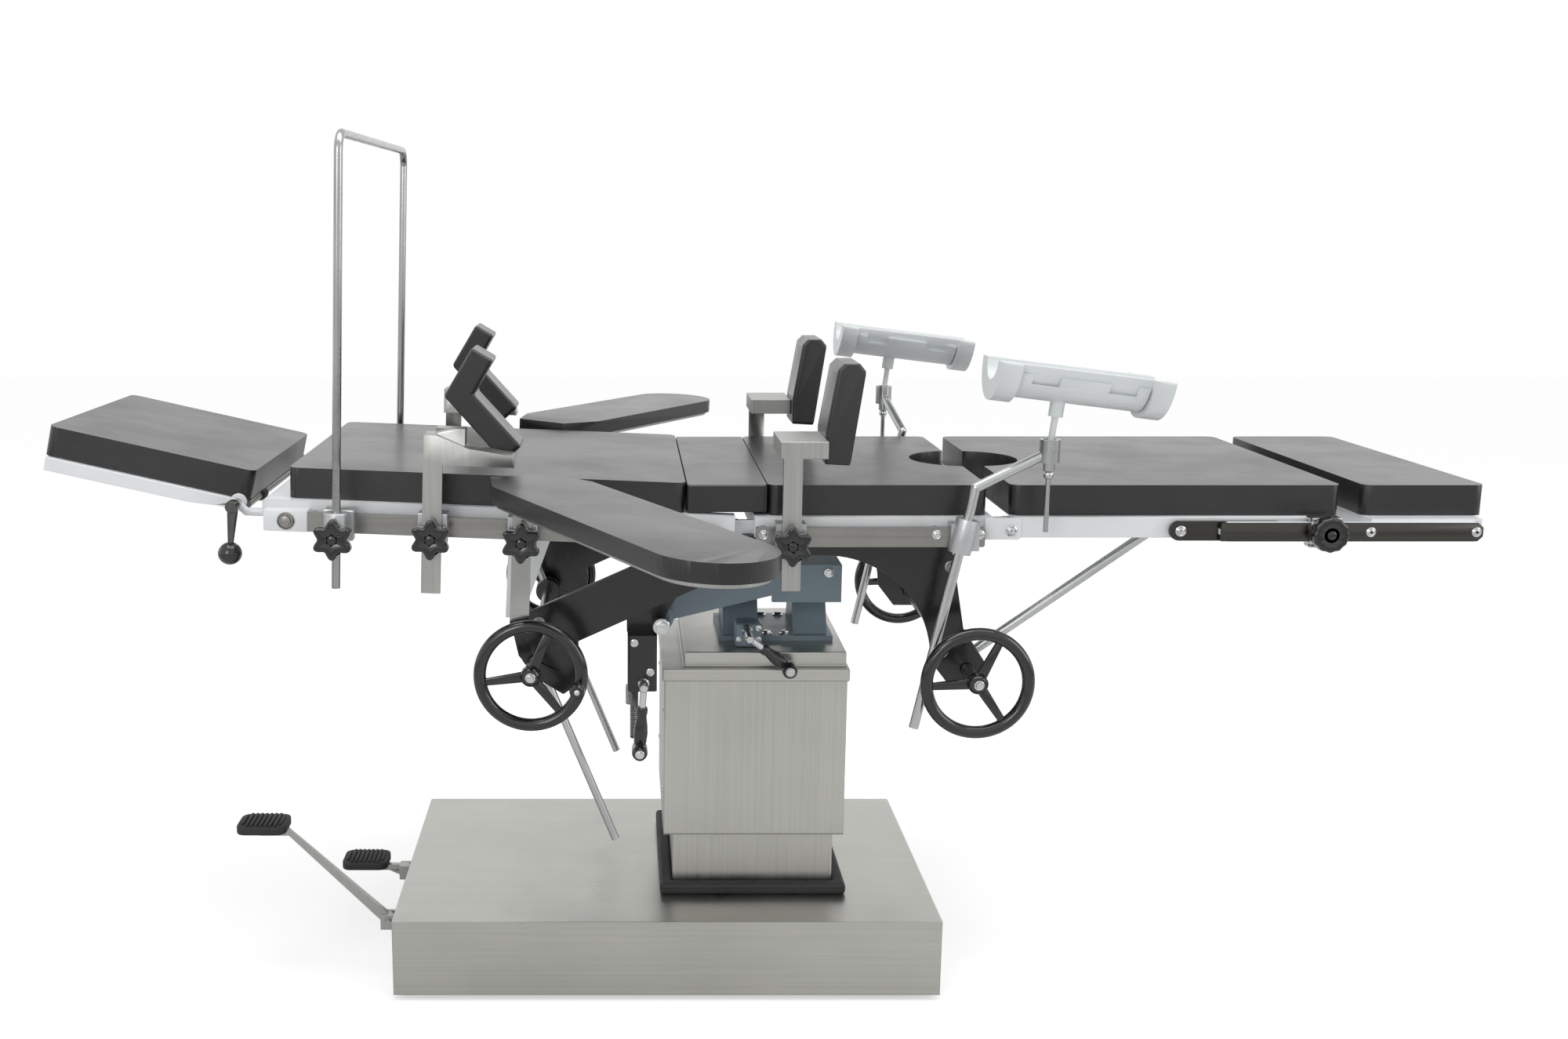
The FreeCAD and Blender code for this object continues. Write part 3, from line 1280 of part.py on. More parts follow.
def crutch_rod(name, side, top):
    """A bent steel rod through its clamp, with the cup and cross pin of the crutch's joint."""
    x, y, z = top
    bend = ("crutch_bend_x", side, "crutch_bend_z")
    lower = rod(name + "_lower", "crutch_rod_r", ("crutch_low_x", side, "crutch_low_z"), bend)
    knee = ball(name + "_knee", "crutch_rod_r", bend)
    upper = rod(name + "_upper", "crutch_rod_r", bend, top)
    cup = rod(name + "_cup", "cup_r", (x, y, z + " - cup_down"), (x, y, z + " + joint_rise + cup_up"))
    seat = ball(name + "_seat", "joint_r + gap", (x, y, z + " + joint_rise"))
    mouth = doc.addObject("Part::Cone", name + "_mouth")
    bind(mouth, "Radius1", "stem_r + 2*gap")
    bind(mouth, "Radius2", "cup_mouth_r")
    bind(mouth, "Height", "cup_up")
    bind(mouth, "Placement",
         "placement(vector(%s; %s; %s + joint_rise); rotation(vector(0; 0; 1); 0))" % top)
    nut = rod(name + "_nut", "lock_nut_r", (x, y, z + " - cup_down - lock_nut_h"),
              (x, y, z + " - cup_down"))
    eye = ball(name + "_eye", "lock_eye_r", (x, y, z + " - cup_down - lock_nut_h - lock_eye_r + 1"))
    lock = rod(name + "_lock", "lock_rod_r", (x, y, z + " - lock_reach"),
               (x, y, z + " - cup_down - lock_nut_h"))
    solid = join(name + "_solid", lower, knee, upper, cup, nut, eye, lock)
    bored = cut(name + "_bored", solid, join(name + "_socket", seat, mouth))
    return join(name, bored, cross_pin(name, "tilt_pin_r", "cup_r + 2", x, y, z + " + joint_rise"))


def cross_pin(name, radius, half, x, y, z):
    """A pin along Y, half its length to each side."""
    return rod(name + "_cross_pin", radius, (x, "%s - (%s)" % (y, half), z), (x, "%s + %s" % (y, half), z))


def crutch(name, y):
    """The gutter that holds a lower leg, about its joint: a notched half pipe on a stem, and its liner."""
    def across(cutter, wall, low, high, over):
        """A channel of the gutter's section, and the space above its open side."""
        pipe = rod(cutter, wall, (low, y, "shell_rise"), (high, y, "shell_rise"))
        return pipe, box(cutter + "_lid", (low, high), (y + " - 2*shell_r", y + " + 2*shell_r"),
                         ("shell_rise + " + over, "shell_rise + 2*shell_r"))
    start, end = ("shell_shift - shell_half", "shell_shift + shell_half")
    outer = rod(name + "_outer", "shell_r", (start, y, "shell_rise"), (end, y, "shell_rise"))
    inner, lid = across(name + "_inner", "shell_r - shell_t", start + " - 5", end + " + 5", "shell_rim")
    notches = []
    for place, x in (("left", start + " + strap_edge"), ("right", end + " - strap_edge - strap_notch")):
        notches.append(box("%s_%s_notch" % (name, place), (x, x + " + strap_notch"),
                           (y + " - 2*shell_r", y + " + 2*shell_r"),
                           ("shell_rise + shell_rim - strap_deep", "shell_rise + 2*shell_r")))
    gutter = cut(name + "_gutter", outer, join(name + "_hollow", inner, lid, *notches))
    stem = rod(name + "_stem", "stem_r", ("0", y, "0"), ("0", y, "shell_rise - shell_r + 2"))
    boss = rod(name + "_boss", "stem_boss_r", ("0", y, "shell_rise - shell_r - stem_boss_h"),
               ("0", y, "shell_rise - shell_r + 3"))
    knuckle = join(name + "_knuckle", stem, boss, ball(name + "_ball", "joint_r", ("0", y, "0")))
    post = cut(name + "_post", knuckle, cross_pin(name, "tilt_pin_r + play", "cup_r", "0", y, "0"))
    bed = rod(name + "_bed", "shell_r - shell_t", (start, y, "shell_rise"), (end, y, "shell_rise"))
    shell = join(name + "_shell", gutter, cut(name + "_post_cut", post, bed))
    low, high = ("shell_shift - crutch_pad_half", "shell_shift + crutch_pad_half")
    roll = "shell_r - shell_t - gap"
    pad = rod(name + "_pad", roll, (low, y, "shell_rise"), (high, y, "shell_rise"))
    left_flare = rod(name + "_flare_left", "shell_r + flare", (low, y, "shell_rise"),
                     (start + " - 2", y, "shell_rise"))
    right_flare = rod(name + "_flare_right", "shell_r + flare", (end + " + 2", y, "shell_rise"),
                      (high, y, "shell_rise"))
    hollow, top = across(name + "_pad_in", roll + " - crutch_pad_t", low + " - 5", high + " + 5",
                         "shell_rim + 12")
    liner = cut(name + "_liner", join(name + "_pad_solid", pad, left_flare, right_flare),
                join(name + "_pad_hollow", hollow, top))
    return group(name, shell, liner)


near_body = body_support("near_body")
node("seat_clamps", seat_clamps())
node("near_body_support", group("near_body_support", *near_body))
node("far_body_support", group("far_body_support", *[twin(solid) for solid in near_body]))
node("body_knob",
     star_knob("body_knob", "body_x", "rail_low + rail_h/2 - knob_drop/2",
               "-clamp_front - gap - bar_t - gap"))
node("near_crutch_rod",
     crutch_rod("near_crutch_rod", "-crutch_y", ("crutch_top_x", "-crutch_y", "crutch_top_z")))
node("far_crutch_rod", crutch_rod("far_crutch_rod", "crutch_y", ("far_top_x", "far_top_y", "crutch_top_z")))
node("near_crutch", crutch("near_gutter", "-crutch_y"), ("crutch_top_x", "crutch_top_z + joint_rise"),
     "crutch_lean")
node("far_crutch", crutch("far_gutter", "far_top_y"), ("far_top_x", "crutch_top_z + joint_rise"),
     "crutch_lean")

# Foot section's clamp knob
node("foot_knob",
     star_knob("foot_knob", "foot_knob_x", "slide_low + slide_h/2", "-slide_in - 2*slide_t - 3*gap - 6"))


def clean():
    """Stops if any object failed or any sub-part is empty or invalid."""
    doc.recompute()
    for item in doc.Objects:
        if "Invalid" in item.State or "Error" in item.State:
            raise SystemExit("%s failed: %s" % (item.Name, item.State))
    for piece in pieces:
        if piece.Shape.isNull() or not piece.Shape.isValid():
            raise SystemExit("%s has a bad shape" % piece.Label)


clean()
os.makedirs("parts", exist_ok=True)
for piece in pieces:
    piece.Shape.exportStep("parts/%s.step" % piece.Label)
print(len(pieces), "sub-parts")
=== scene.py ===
import bmesh
import bpy
import math
from mathutils import Euler, Matrix, Vector


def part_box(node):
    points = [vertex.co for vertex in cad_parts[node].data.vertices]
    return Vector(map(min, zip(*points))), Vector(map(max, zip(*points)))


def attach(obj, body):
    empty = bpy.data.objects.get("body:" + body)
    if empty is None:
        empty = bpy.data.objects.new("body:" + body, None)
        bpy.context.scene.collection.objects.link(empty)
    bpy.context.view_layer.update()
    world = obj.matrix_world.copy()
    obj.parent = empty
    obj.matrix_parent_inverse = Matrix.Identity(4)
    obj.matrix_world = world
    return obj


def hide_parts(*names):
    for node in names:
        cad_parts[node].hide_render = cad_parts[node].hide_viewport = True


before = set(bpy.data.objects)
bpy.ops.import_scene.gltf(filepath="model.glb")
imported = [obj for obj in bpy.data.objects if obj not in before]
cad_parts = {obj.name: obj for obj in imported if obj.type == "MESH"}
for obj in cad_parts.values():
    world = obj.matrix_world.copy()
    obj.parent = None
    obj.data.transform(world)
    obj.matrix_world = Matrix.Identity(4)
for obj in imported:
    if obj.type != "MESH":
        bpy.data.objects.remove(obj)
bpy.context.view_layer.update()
scene = bpy.context.scene
scene.view_settings.view_transform = "Standard"

# Camera: eye height of a person standing two and a half metres from the table's long side,
# looking slightly down; the shift keeps the whole table in the frame.
CAMERA_PLACE = (-0.203, -2.451, 1.170)
CAMERA_DROP = 11.0
camera = bpy.data.objects.new("camera", bpy.data.cameras.new("camera"))
camera.location = CAMERA_PLACE
camera.rotation_euler = (math.radians(90 - CAMERA_DROP), 0, 0)
camera.data.lens = 36.02
camera.data.shift_x = 0.1028
scene.collection.objects.link(camera)
scene.camera = camera

# Studio: a white surround that the eye and the metal see at full strength and the rest at a
# plain level, softboxes above, in front and at the side, and a pale floor that keeps the shadow.
SURROUND_LEVEL = 0.55
FLOOR_HALF = 9.0
FLOOR_SINK = 0.0005
world = bpy.data.worlds.new("surround")
scene.world = world
world.use_nodes = True
sky = world.node_tree
sky.nodes.clear()
path = sky.nodes.new("ShaderNodeLightPath")
seen = path.outputs["Is Camera Ray"]
for kind in ("Is Glossy Ray", "Is Transmission Ray"):
    either = sky.nodes.new("ShaderNodeMath")
    either.operation = "MAXIMUM"
    sky.links.new(seen, either.inputs[0])
    sky.links.new(path.outputs[kind], either.inputs[1])
    seen = either.outputs[0]
level = sky.nodes.new("ShaderNodeMapRange")
level.inputs["To Min"].default_value = SURROUND_LEVEL
level.inputs["To Max"].default_value = 1.0
sky.links.new(seen, level.inputs["Value"])
backdrop = sky.nodes.new("ShaderNodeBackground")
backdrop.inputs["Color"].default_value = (1, 1, 1, 1)
sky.links.new(level.outputs[0], backdrop.inputs["Strength"])
sky.links.new(backdrop.outputs[0], sky.nodes.new("ShaderNodeOutputWorld").inputs[0])

for name, place, aim, width, depth, watts in (
        ("top_softbox", (0.1, -0.4, 2.9), (0.1, 0, 0.7), 3.0, 1.2, 30),
        ("front_softbox", (-1.7, -3.4, 2.1), (0, 0, 0.6), 1.4, 1.8, 26),
        ("side_softbox", (3.0, -1.3, 1.7), (0, 0, 0.6), 1.2, 1.8, 18)):
    lamp = bpy.data.objects.new(name, bpy.data.lights.new(name, "AREA"))
    lamp.data.shape = "RECTANGLE"
    lamp.data.size = width
    lamp.data.size_y = depth
    lamp.data.energy = watts
    lamp.location = place
    lamp.rotation_euler = (Vector(place) - Vector(aim)).to_track_quat("Z", "Y").to_euler()
    scene.collection.objects.link(lamp)


# Base: a low box of brushed stainless sheet, folded at its edges, over a steel ballast frame,
# standing on four rubber pads. Its sheet is satin, with the grain along the table.
class Wire:
    """A shader socket that takes part in sums: an operator adds its Math node."""

    def __init__(self, finish, socket):
        self.finish = finish
        self.socket = socket

    def sum(self, operation, first, second):
        return self.finish.add("Math", {"operation": operation}, {0: first, 1: second})

    def __add__(self, other):
        return self.sum("ADD", self, other)

    def __sub__(self, other):
        return self.sum("SUBTRACT", self, other)

    def __rsub__(self, other):
        return self.sum("SUBTRACT", other, self)

    def __mul__(self, other):
        return self.sum("MULTIPLY", self, other)

    __radd__ = __add__
    __rmul__ = __mul__


class Finish:
    """One material, made node by node around a Principled shader."""

    def __init__(self, name, **sockets):
        self.material = bpy.data.materials.new(name)
        self.material.use_nodes = True
        self.tree = self.material.node_tree
        self.tree.nodes.clear()
        self.shader = self.tree.nodes.new("ShaderNodeBsdfPrincipled")
        output = self.tree.nodes.new("ShaderNodeOutputMaterial")
        self.tree.links.new(self.shader.outputs[0], output.inputs[0])
        self.place = self.add("TexCoord", {}, {}, "Object")
        self.set(**sockets)

    def feed(self, socket, value):
        if isinstance(value, Wire):
            self.tree.links.new(value.socket, socket)
        else:
            socket.default_value = value

    def add(self, kind, settings, sockets, output=0):
        """Adds a node: its settings first, then the values or links of its sockets."""
        made = self.tree.nodes.new("ShaderNode" + kind)
        for setting, value in settings.items():
            setattr(made, setting, value)
        for socket, value in sockets.items():
            self.feed(made.inputs[socket], value)
        return Wire(self, made.outputs[output])

    def set(self, **sockets):
        for name, value in sockets.items():
            self.feed(self.shader.inputs[name.replace("_", " ")], value)

    def grain(self, scale, stretch=(1, 1, 1), detail=3.0, rough=0.55):
        """A noise from 0 to 1 on the piece's own coordinates, in metres."""
        along = self.add("Mapping", {}, {"Vector": self.place, "Scale": stretch})
        sockets = {"Vector": along, "Scale": scale, "Detail": detail, "Roughness": rough}
        return self.add("TexNoise", {}, sockets)

    def band(self, value, low, high, to_low=0.0, to_high=1.0):
        return self.add("MapRange", {}, {"Value": value, 1: low, 2: high, 3: to_low, 4: to_high})

    def mix(self, share, first, second):
        """A colour between two, by a share from 0 to 1."""
        return self.add("Mix", {"data_type": "RGBA"}, {"Factor": share, 6: first, 7: second}, 2)

    def bump(self, height, distance, strength=1.0):
        return self.add("Bump", {}, {"Height": height, "Distance": distance, "Strength": strength})


def tint(colour, share=1.0):
    return tuple(share * part for part in colour) + (1.0,)


def brushed(name, colour, stretch, rough=0.3):
    """Brushed stainless: fine grain lines, cloudy shine and faint handling marks."""
    look = Finish(name, Metallic=1.0)
    lines = look.grain(1.0, stretch, 5.0, 0.65)
    cloud = look.grain(4.0, (1, 1, 1.6), 2.0)
    smear = look.grain(11.0, (1, 1, 0.35), 4.0, 0.7)
    shade = look.band(lines * 0.6 + cloud * 0.4, 0.3, 0.7)
    look.set(Base_Color=look.mix(shade, tint(colour, 0.85), tint(colour, 1.1)),
             Roughness=look.band(smear * 0.6 + lines * 0.4, 0.3, 0.7, rough - 0.06, rough + 0.1),
             Normal=look.bump(lines, 0.0001, 0.3))
    return look.material


def rubber(name, colour, rough=0.62):
    """Moulded rubber: matt, with a fine mould texture and pale dust in patches."""
    look = Finish(name)
    dust = look.band(look.grain(14.0, detail=4.0), 0.45, 0.75)
    look.set(Base_Color=look.mix(dust, tint(colour), tint(colour, 1.9)),
             Roughness=look.band(dust, 0, 1, rough, rough + 0.12),
             Normal=look.bump(look.grain(900.0, detail=2.0), 0.0002, 0.5))
    return look.material


def machined(name, colour, rough=0.3, stretch=(60, 60, 60)):
    """Bare or plated steel with light tool marks and faint stains."""
    look = Finish(name, Metallic=1.0)
    marks = look.grain(8.0, stretch, 3.0)
    stain = look.band(look.grain(9.0, detail=4.0), 0.35, 0.7)
    look.set(Base_Color=look.mix(stain, tint(colour, 0.84), tint(colour, 1.06)),
             Roughness=look.band(marks, 0.3, 0.7, rough - 0.05, rough + 0.08),
             Normal=look.bump(marks, 0.00006, 0.3))
    return look.material


def round_edges(item, edge, segments=3, angle=32):
    """A small radius on every sharp edge of a piece."""
    soft = item.modifiers.new("edge", "BEVEL")
    soft.width = edge
    soft.segments = segments
    soft.limit_method = "ANGLE"
    soft.angle_limit = math.radians(angle)
    soft.use_clamp_overlap = True
    soft.harden_normals = True


def dress(node, material, edge=0.0, segments=2):
    """Gives a carried-over part its finish and, where it has one, its edge radius."""
    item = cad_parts[node]
    for spot in item.material_slots:
        spot.material = material
    if edge:
        weld = item.modifiers.new("weld", "WELD")
        weld.merge_threshold = 0.00002
        round_edges(item, edge, segments)


STAINLESS = (0.50, 0.495, 0.465)
PLAIN_STEEL = (0.34, 0.34, 0.34)
RUBBER_BLACK = (0.014, 0.015, 0.015)
sheet_along = brushed("stainless_sheet", STAINLESS, (1.6, 420, 420))
plain_steel = machined("plain_steel", PLAIN_STEEL, 0.4)
black_rubber = rubber("black_rubber", RUBBER_BLACK)
dress("base_cover", sheet_along, 0.0025, 3)
dress("base_chassis", plain_steel, 0.001)
dress("base_feet", black_rubber, 0.001)

# Column: an inner stainless cover standing in a black rubber gasket, an outer cover that rides
# up over it, and a pressed cap with a raised step; the hydraulic ram is closed in between them.
SCREW_HEAD = 0.0032
sheet_column = brushed("stainless_column", STAINLESS, (420, 420, 1.6))
dress("column_gasket", black_rubber, 0.006, 3)
dress("column_inner_cover", sheet_column, 0.003, 3)
dress("column_outer_cover", sheet_column, 0.003, 3)
dress("column_cap", sheet_along, 0.002, 3)
dress("lift_cylinder", plain_steel)
dress("lift_ram", plain_steel)


def made(name, shape, material, body, slot, sharp=35):
    """Turns a finished bmesh into a piece that rides on a body."""
    mesh = bpy.data.meshes.new(name)
    shape.to_mesh(mesh)
    shape.free()
    mesh.materials.append(material)
    mesh.shade_smooth()
    mesh.set_sharp_from_angle(angle=math.radians(sharp))
    item = bpy.data.objects.new(name, mesh)
    scene.collection.objects.link(item)
    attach(item, body)
    return item


def place(shape, part, spot=(0, 0, 0), turn=(0, 0, 0)):
    """Adds a part to a shape at a spot, turned by degrees about X, Y and Z."""
    bmesh.ops.remove_doubles(part, verts=part.verts, dist=0.000005)
    bmesh.ops.recalc_face_normals(part, faces=part.faces)
    held = bpy.data.meshes.new("held")
    part.to_mesh(held)
    part.free()
    turned = Euler([math.radians(angle) for angle in turn]).to_matrix().to_4x4()
    held.transform(Matrix.Translation(spot) @ turned)
    shape.from_mesh(held)
    bpy.data.meshes.remove(held)


def turning(profile, steps=32):
    """A turned part: a profile of (radius, height) points spun about Z."""
    part = bmesh.new()
    verts = [part.verts.new((radius, 0, height)) for radius, height in profile]
    edges = [part.edges.new(pair) for pair in zip(verts, verts[1:])]
    bmesh.ops.spin(part, geom=verts + edges, axis=(0, 0, 1), cent=(0, 0, 0), angle=math.tau, steps=steps,
                   use_merge=True)
    return part


def screw_head(radius):
    """A domed screw head with a recess, its axis along Z."""
    return turning([(0, -radius * 0.5), (radius * 1.02, -radius * 0.5), (radius, radius * 0.12),
                    (radius * 0.8, radius * 0.42), (radius * 0.46, radius * 0.55),
                    (radius * 0.36, radius * 0.2), (0, radius * 0.12)], 24)


TO_NEAR = (90, 0, 0)
TO_FAR = (-90, 0, 0)
TO_HEAD = (0, -90, 0)
bright_steel = machined("bright_steel", (0.62, 0.63, 0.63), 0.16)
cover_low, cover_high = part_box("column_outer_cover")
shape = bmesh.new()
for side in (-1, 1):
    for height in (0.25, 0.75):
        place(shape, screw_head(SCREW_HEAD), (cover_low[0], side * 0.13,
              cover_low[2] + height * (cover_high[2] - cover_low[2])), TO_HEAD)
made("column_cover_screws", shape, bright_steel, "column", "bright_steel")
gasket_low, gasket_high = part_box("column_gasket")
shape = bmesh.new()
for x in (-0.085, 0.0, 0.085):
    place(shape, screw_head(SCREW_HEAD), (x, gasket_low[1] + 0.009, gasket_high[2]))
made("gasket_screws", shape, black_rubber, "base", "black_rubber")

# Pedals: flat satin steel arms pinned to the base's left end, each with a black rubber pad on top
# that has moulded cross ribs and a rounded outline.
RIB_COUNT = 9
PAD_CORNER = 0.014


def solids(node):
    """The separate solids of a carried-over part as merged copies, the lowest one first."""
    whole = bmesh.new()
    whole.from_mesh(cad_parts[node].data)
    bmesh.ops.remove_doubles(whole, verts=whole.verts, dist=0.00002)
    whole.verts.index_update()
    unseen = set(range(len(whole.verts)))
    whole.verts.ensure_lookup_table()
    found = []
    while unseen:
        reached = {unseen.pop()}
        front = list(reached)
        while front:
            vert = whole.verts[front.pop()]
            for edge in vert.link_edges:
                index = edge.other_vert(vert).index
                if index in unseen:
                    unseen.discard(index)
                    reached.add(index)
                    front.append(index)
        part = whole.copy()
        bmesh.ops.delete(part, geom=[v for v in part.verts if v.index not in reached], context="VERTS")
        found.append(part)
    whole.free()
    return sorted(found, key=lambda part: sum(v.co.z for v in part.verts) / len(part.verts))


def reach(shape):
    """The lowest and highest corner of a shape."""
    corners = [[pick(vert.co[axis] for vert in shape.verts) for axis in range(3)] for pick in (min, max)]
    return Vector(corners[0]), Vector(corners[1])


def block(low, high, edge=0.0, segments=3):
    """A block between two corners with rounded edges."""
    part = bmesh.new()
    bmesh.ops.create_cube(part, size=1)
    low, high = Vector(low), Vector(high)
    bmesh.ops.scale(part, vec=high - low, verts=part.verts)
    bmesh.ops.translate(part, vec=(low + high) / 2, verts=part.verts)
    if edge:
        bmesh.ops.bevel(part, geom=part.edges[:], offset=edge, segments=segments, affect="EDGES", profile=0.5,
                        material=-1)
    return part


def rounded_slab(low, high, corner, edge):
    """A flat slab with rounded corners, seen from above, and a small edge radius all round."""
    part = block(low, high)
    uprights = [edge for edge in part.edges if abs(edge.verts[0].co.z - edge.verts[1].co.z) > 1e-5]
    bmesh.ops.bevel(part, geom=uprights, offset=corner, segments=5, affect="EDGES", profile=0.5, material=-1)
    rims = [edge for edge in part.edges
            if abs(edge.verts[0].co.z - edge.verts[1].co.z) < 1e-5 and len(edge.link_faces) == 2
            and abs(edge.link_faces[0].normal.z - edge.link_faces[1].normal.z) > 0.5]
    bmesh.ops.bevel(part, geom=rims, offset=edge, segments=2, affect="EDGES", profile=0.5, material=-1)
    return part


satin_steel = brushed("satin_steel", (0.40, 0.40, 0.385), (240, 240, 4), 0.34)
dress("pedal_brackets", satin_steel, 0.001)
for node in ("lift_pedal", "release_pedal"):
    arm, pad = solids(node)
    low, high = reach(pad)
    pad.free()
    arm_piece = made(node + "_arm", arm, satin_steel, node, "stainless_rail")
    round_edges(arm_piece, 0.001, 2)
    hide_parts(node)
    shape = bmesh.new()
    place(shape, rounded_slab(low, (high.x, high.y, high.z - 0.003), PAD_CORNER, 0.002))
    for rib in range(RIB_COUNT):
        x = low.x + 0.009 + rib * (high.x - low.x - 0.018) / (RIB_COUNT - 1)
        inset = 0.012 if rib in (0, RIB_COUNT - 1) else 0.005
        place(shape, block((x - 0.0022, low.y + inset, high.z - 0.005),
                           (x + 0.0022, high.y - inset, high.z), 0.001, 2))
    made(node + "_tread", shape, black_rubber, node, "black_rubber")

# Column head and cradle: iron castings under a thick blue-grey paint, which pivot on two plain
# steel shafts held by nuts, with the small gearbox of the side tilt bolted to the head.
CASTING = (0.19, 0.255, 0.295)


def painted(name, colour, rough, coat, relief, scale):
    """Sprayed paint: an even colour with orange peel, soft clouding and a little dust."""
    look = Finish(name, Coat_Weight=coat, Coat_Roughness=0.12)
    cloud = look.grain(5.0, detail=3.0)
    dust = look.band(look.grain(45.0, detail=5.0), 0.5, 0.8)
    look.set(Base_Color=look.mix(cloud, tint(colour, 0.88), tint(colour, 1.1)),
             Roughness=look.band(dust, 0, 1, rough, rough + 0.14),
             Normal=look.bump(look.grain(scale, detail=3.0), relief, 0.7))
    return look.material


def hex_bolt(radius, washer=1.5):
    """A hexagon head on a washer, its axis along Z and its seat at zero."""
    part = turning([(0, -0.001), (radius * washer, -0.001), (radius * washer, radius * 0.16),
                    (radius * washer * 0.94, radius * 0.22), (0, radius * 0.22)], 24)
    head = bmesh.new()
    bmesh.ops.create_cone(head, cap_ends=True, segments=6, radius1=radius, radius2=radius, depth=radius * 0.7)
    bmesh.ops.bevel(head, geom=[edge for edge in head.edges if min(v.co.z for v in edge.verts) > 0],
                    offset=radius * 0.14, segments=2, affect="EDGES", profile=0.5, material=-1)
    place(part, head, (0, 0, radius * 0.57))
    return part


casting_paint = painted("casting_paint", CASTING, 0.4, 0.15, 0.0005, 210.0)
dress("column_head", casting_paint, 0.004, 3)
dress("tilt_cradle", casting_paint, 0.004, 3)
dress("roll_gearbox", casting_paint, 0.005, 3)
shape = bmesh.new()
for x, y in ((0.024, -0.06), (0.052, -0.06), (0.024, 0.06), (0.052, 0.06)):
    place(shape, hex_bolt(0.006), (x, y, 0.522))
place(shape, hex_bolt(0.011, 1.8), (-0.055, 0, 0.596), TO_HEAD)
place(shape, hex_bolt(0.011, 1.8), (0.128, 0, 0.596), (0, 90, 0))
for x, z in ((-0.024, 0.524), (0.006, 0.524), (0.006, 0.542)):
    place(shape, hex_bolt(0.003), (x, -0.113, z + 0.003), TO_NEAR)
made("column_head_bolts", shape, bright_steel, "column", "bright_steel")
shape = bmesh.new()
place(shape, hex_bolt(0.010, 1.7), (0.045, -0.088, 0.672), TO_NEAR)
place(shape, hex_bolt(0.010, 1.7), (0.045, 0.088, 0.672), TO_FAR)
for x in (0.115, -0.03):
    place(shape, hex_bolt(0.005), (x, -0.0925, 0.628), TO_NEAR)
made("cradle_bolts", shape, bright_steel, "cradle", "bright_steel")

# Table top frame: square tubes and hinge knuckles under white powder coat, with the drive
# brackets in gloss black plate between them.
WHITE_COAT = (0.80, 0.82, 0.84)
BLACK_PAINT = (0.0045, 0.0045, 0.005)
white_coat = painted("white_coat", WHITE_COAT, 0.3, 0.25, 0.00012, 420.0)
black_gloss = painted("black_gloss", BLACK_PAINT, 0.24, 0.3, 0.00012, 380.0)
for node in ("seat_frame", "leg_frame", "foot_frame"):
    dress(node, white_coat, 0.002, 3)
dress("drive_brackets", black_gloss, 0.0015, 2)
dress("tilt_lever", black_gloss, 0.0015, 2)
dress("jack_housing", black_gloss)
shape = bmesh.new()
for side, turn in ((-1, TO_NEAR), (1, TO_FAR)):
    for x, z in ((-0.10, 0.6945), (-0.325, 0.588), (0.27, 0.672), (0.262, 0.545)):
        place(shape, hex_bolt(0.006), (x, side * 0.2441, z), turn)
made("bracket_bolts", shape, plain_steel, "table", "steel")


def prism(outline, near, far):
    """A flat form cut to an outline in the XZ plane and running from near to far."""
    part = bmesh.new()
    face = part.faces.new([part.verts.new((x, near, z)) for x, z in outline])
    grown = bmesh.ops.extrude_face_region(part, geom=[face])
    back = [item for item in grown["geom"] if isinstance(item, bmesh.types.BMVert)]
    bmesh.ops.translate(part, vec=(0, far - near, 0), verts=back)
    bmesh.ops.recalc_face_normals(part, faces=part.faces)
    return part


def eased(part, edge, segments=2):
    """Rounds every sharp edge of a part."""
    sharp = [item for item in part.edges if len(item.link_faces) == 2 and item.calc_face_angle() > 0.6]
    bmesh.ops.bevel(part, geom=sharp, offset=edge, segments=segments, affect="EDGES", profile=0.5,
                    material=-1)
    return part


def cup_screw(radius):
    """A socket screw sunk in a raised cup washer, its axis along Z."""
    return turning([(0, -0.001), (radius * 1.6, -0.001), (radius * 1.55, radius * 0.25),
                    (radius * 1.2, radius * 0.5), (radius, radius * 0.3),
                    (radius * 0.86, radius * 0.42), (radius * 0.5, radius * 0.5),
                    (radius * 0.42, radius * 0.1), (0, radius * 0.1)], 24)


# Leg hinge covers: a white end plate on each side of the top frame, with its hinge screw in a
# raised cup washer.
shape = bmesh.new()
screws = bmesh.new()
for side, turn in ((-1, TO_NEAR), (1, TO_FAR)):
    place(shape, eased(prism([(0.311, 0.716), (0.361, 0.716), (0.363, 0.719),
                              (0.363, 0.7475), (0.311, 0.7475)],
                             side * 0.2624, side * 0.2665), 0.0012))
    place(screws, cup_screw(0.0052), (0.349, side * 0.2667, 0.729), turn)
made("leg_hinge_plates", shape, white_coat, "table", "frame_paint")
made("leg_hinge_screws", screws, bright_steel, "table", "bright_steel")

# Accessory rails: flat brushed stainless bars with rounded ends, held off the frame by spacers
# and sunk screws.
RAIL_STEEL = (0.30, 0.295, 0.28)
BACK_LEAN = 2.3
BACK_HINGE = (-0.041, 0, 0.725)
rail_steel = brushed("rail_steel", RAIL_STEEL, (3, 300, 300), 0.26)
BACK_PLACE = Matrix.Translation(BACK_HINGE) @ Matrix.Rotation(math.radians(BACK_LEAN), 4, "Y")
dress("seat_rails", rail_steel, 0.0008)
dress("back_rails", rail_steel, 0.0008)
shape = bmesh.new()
back_shape = bmesh.new()
for side, turn in ((-1, TO_NEAR), (1, TO_FAR)):
    for x in (-0.004, 0.240, 0.300):
        place(shape, cup_screw(0.0045), (x, side * 0.2842, 0.727), turn)
    for x in (-0.060, -0.225):
        place(back_shape, cup_screw(0.0045), (x, side * 0.2842, 0.0), turn)
back_shape.transform(BACK_PLACE)
made("seat_rail_screws", shape, bright_steel, "table", "bright_steel")
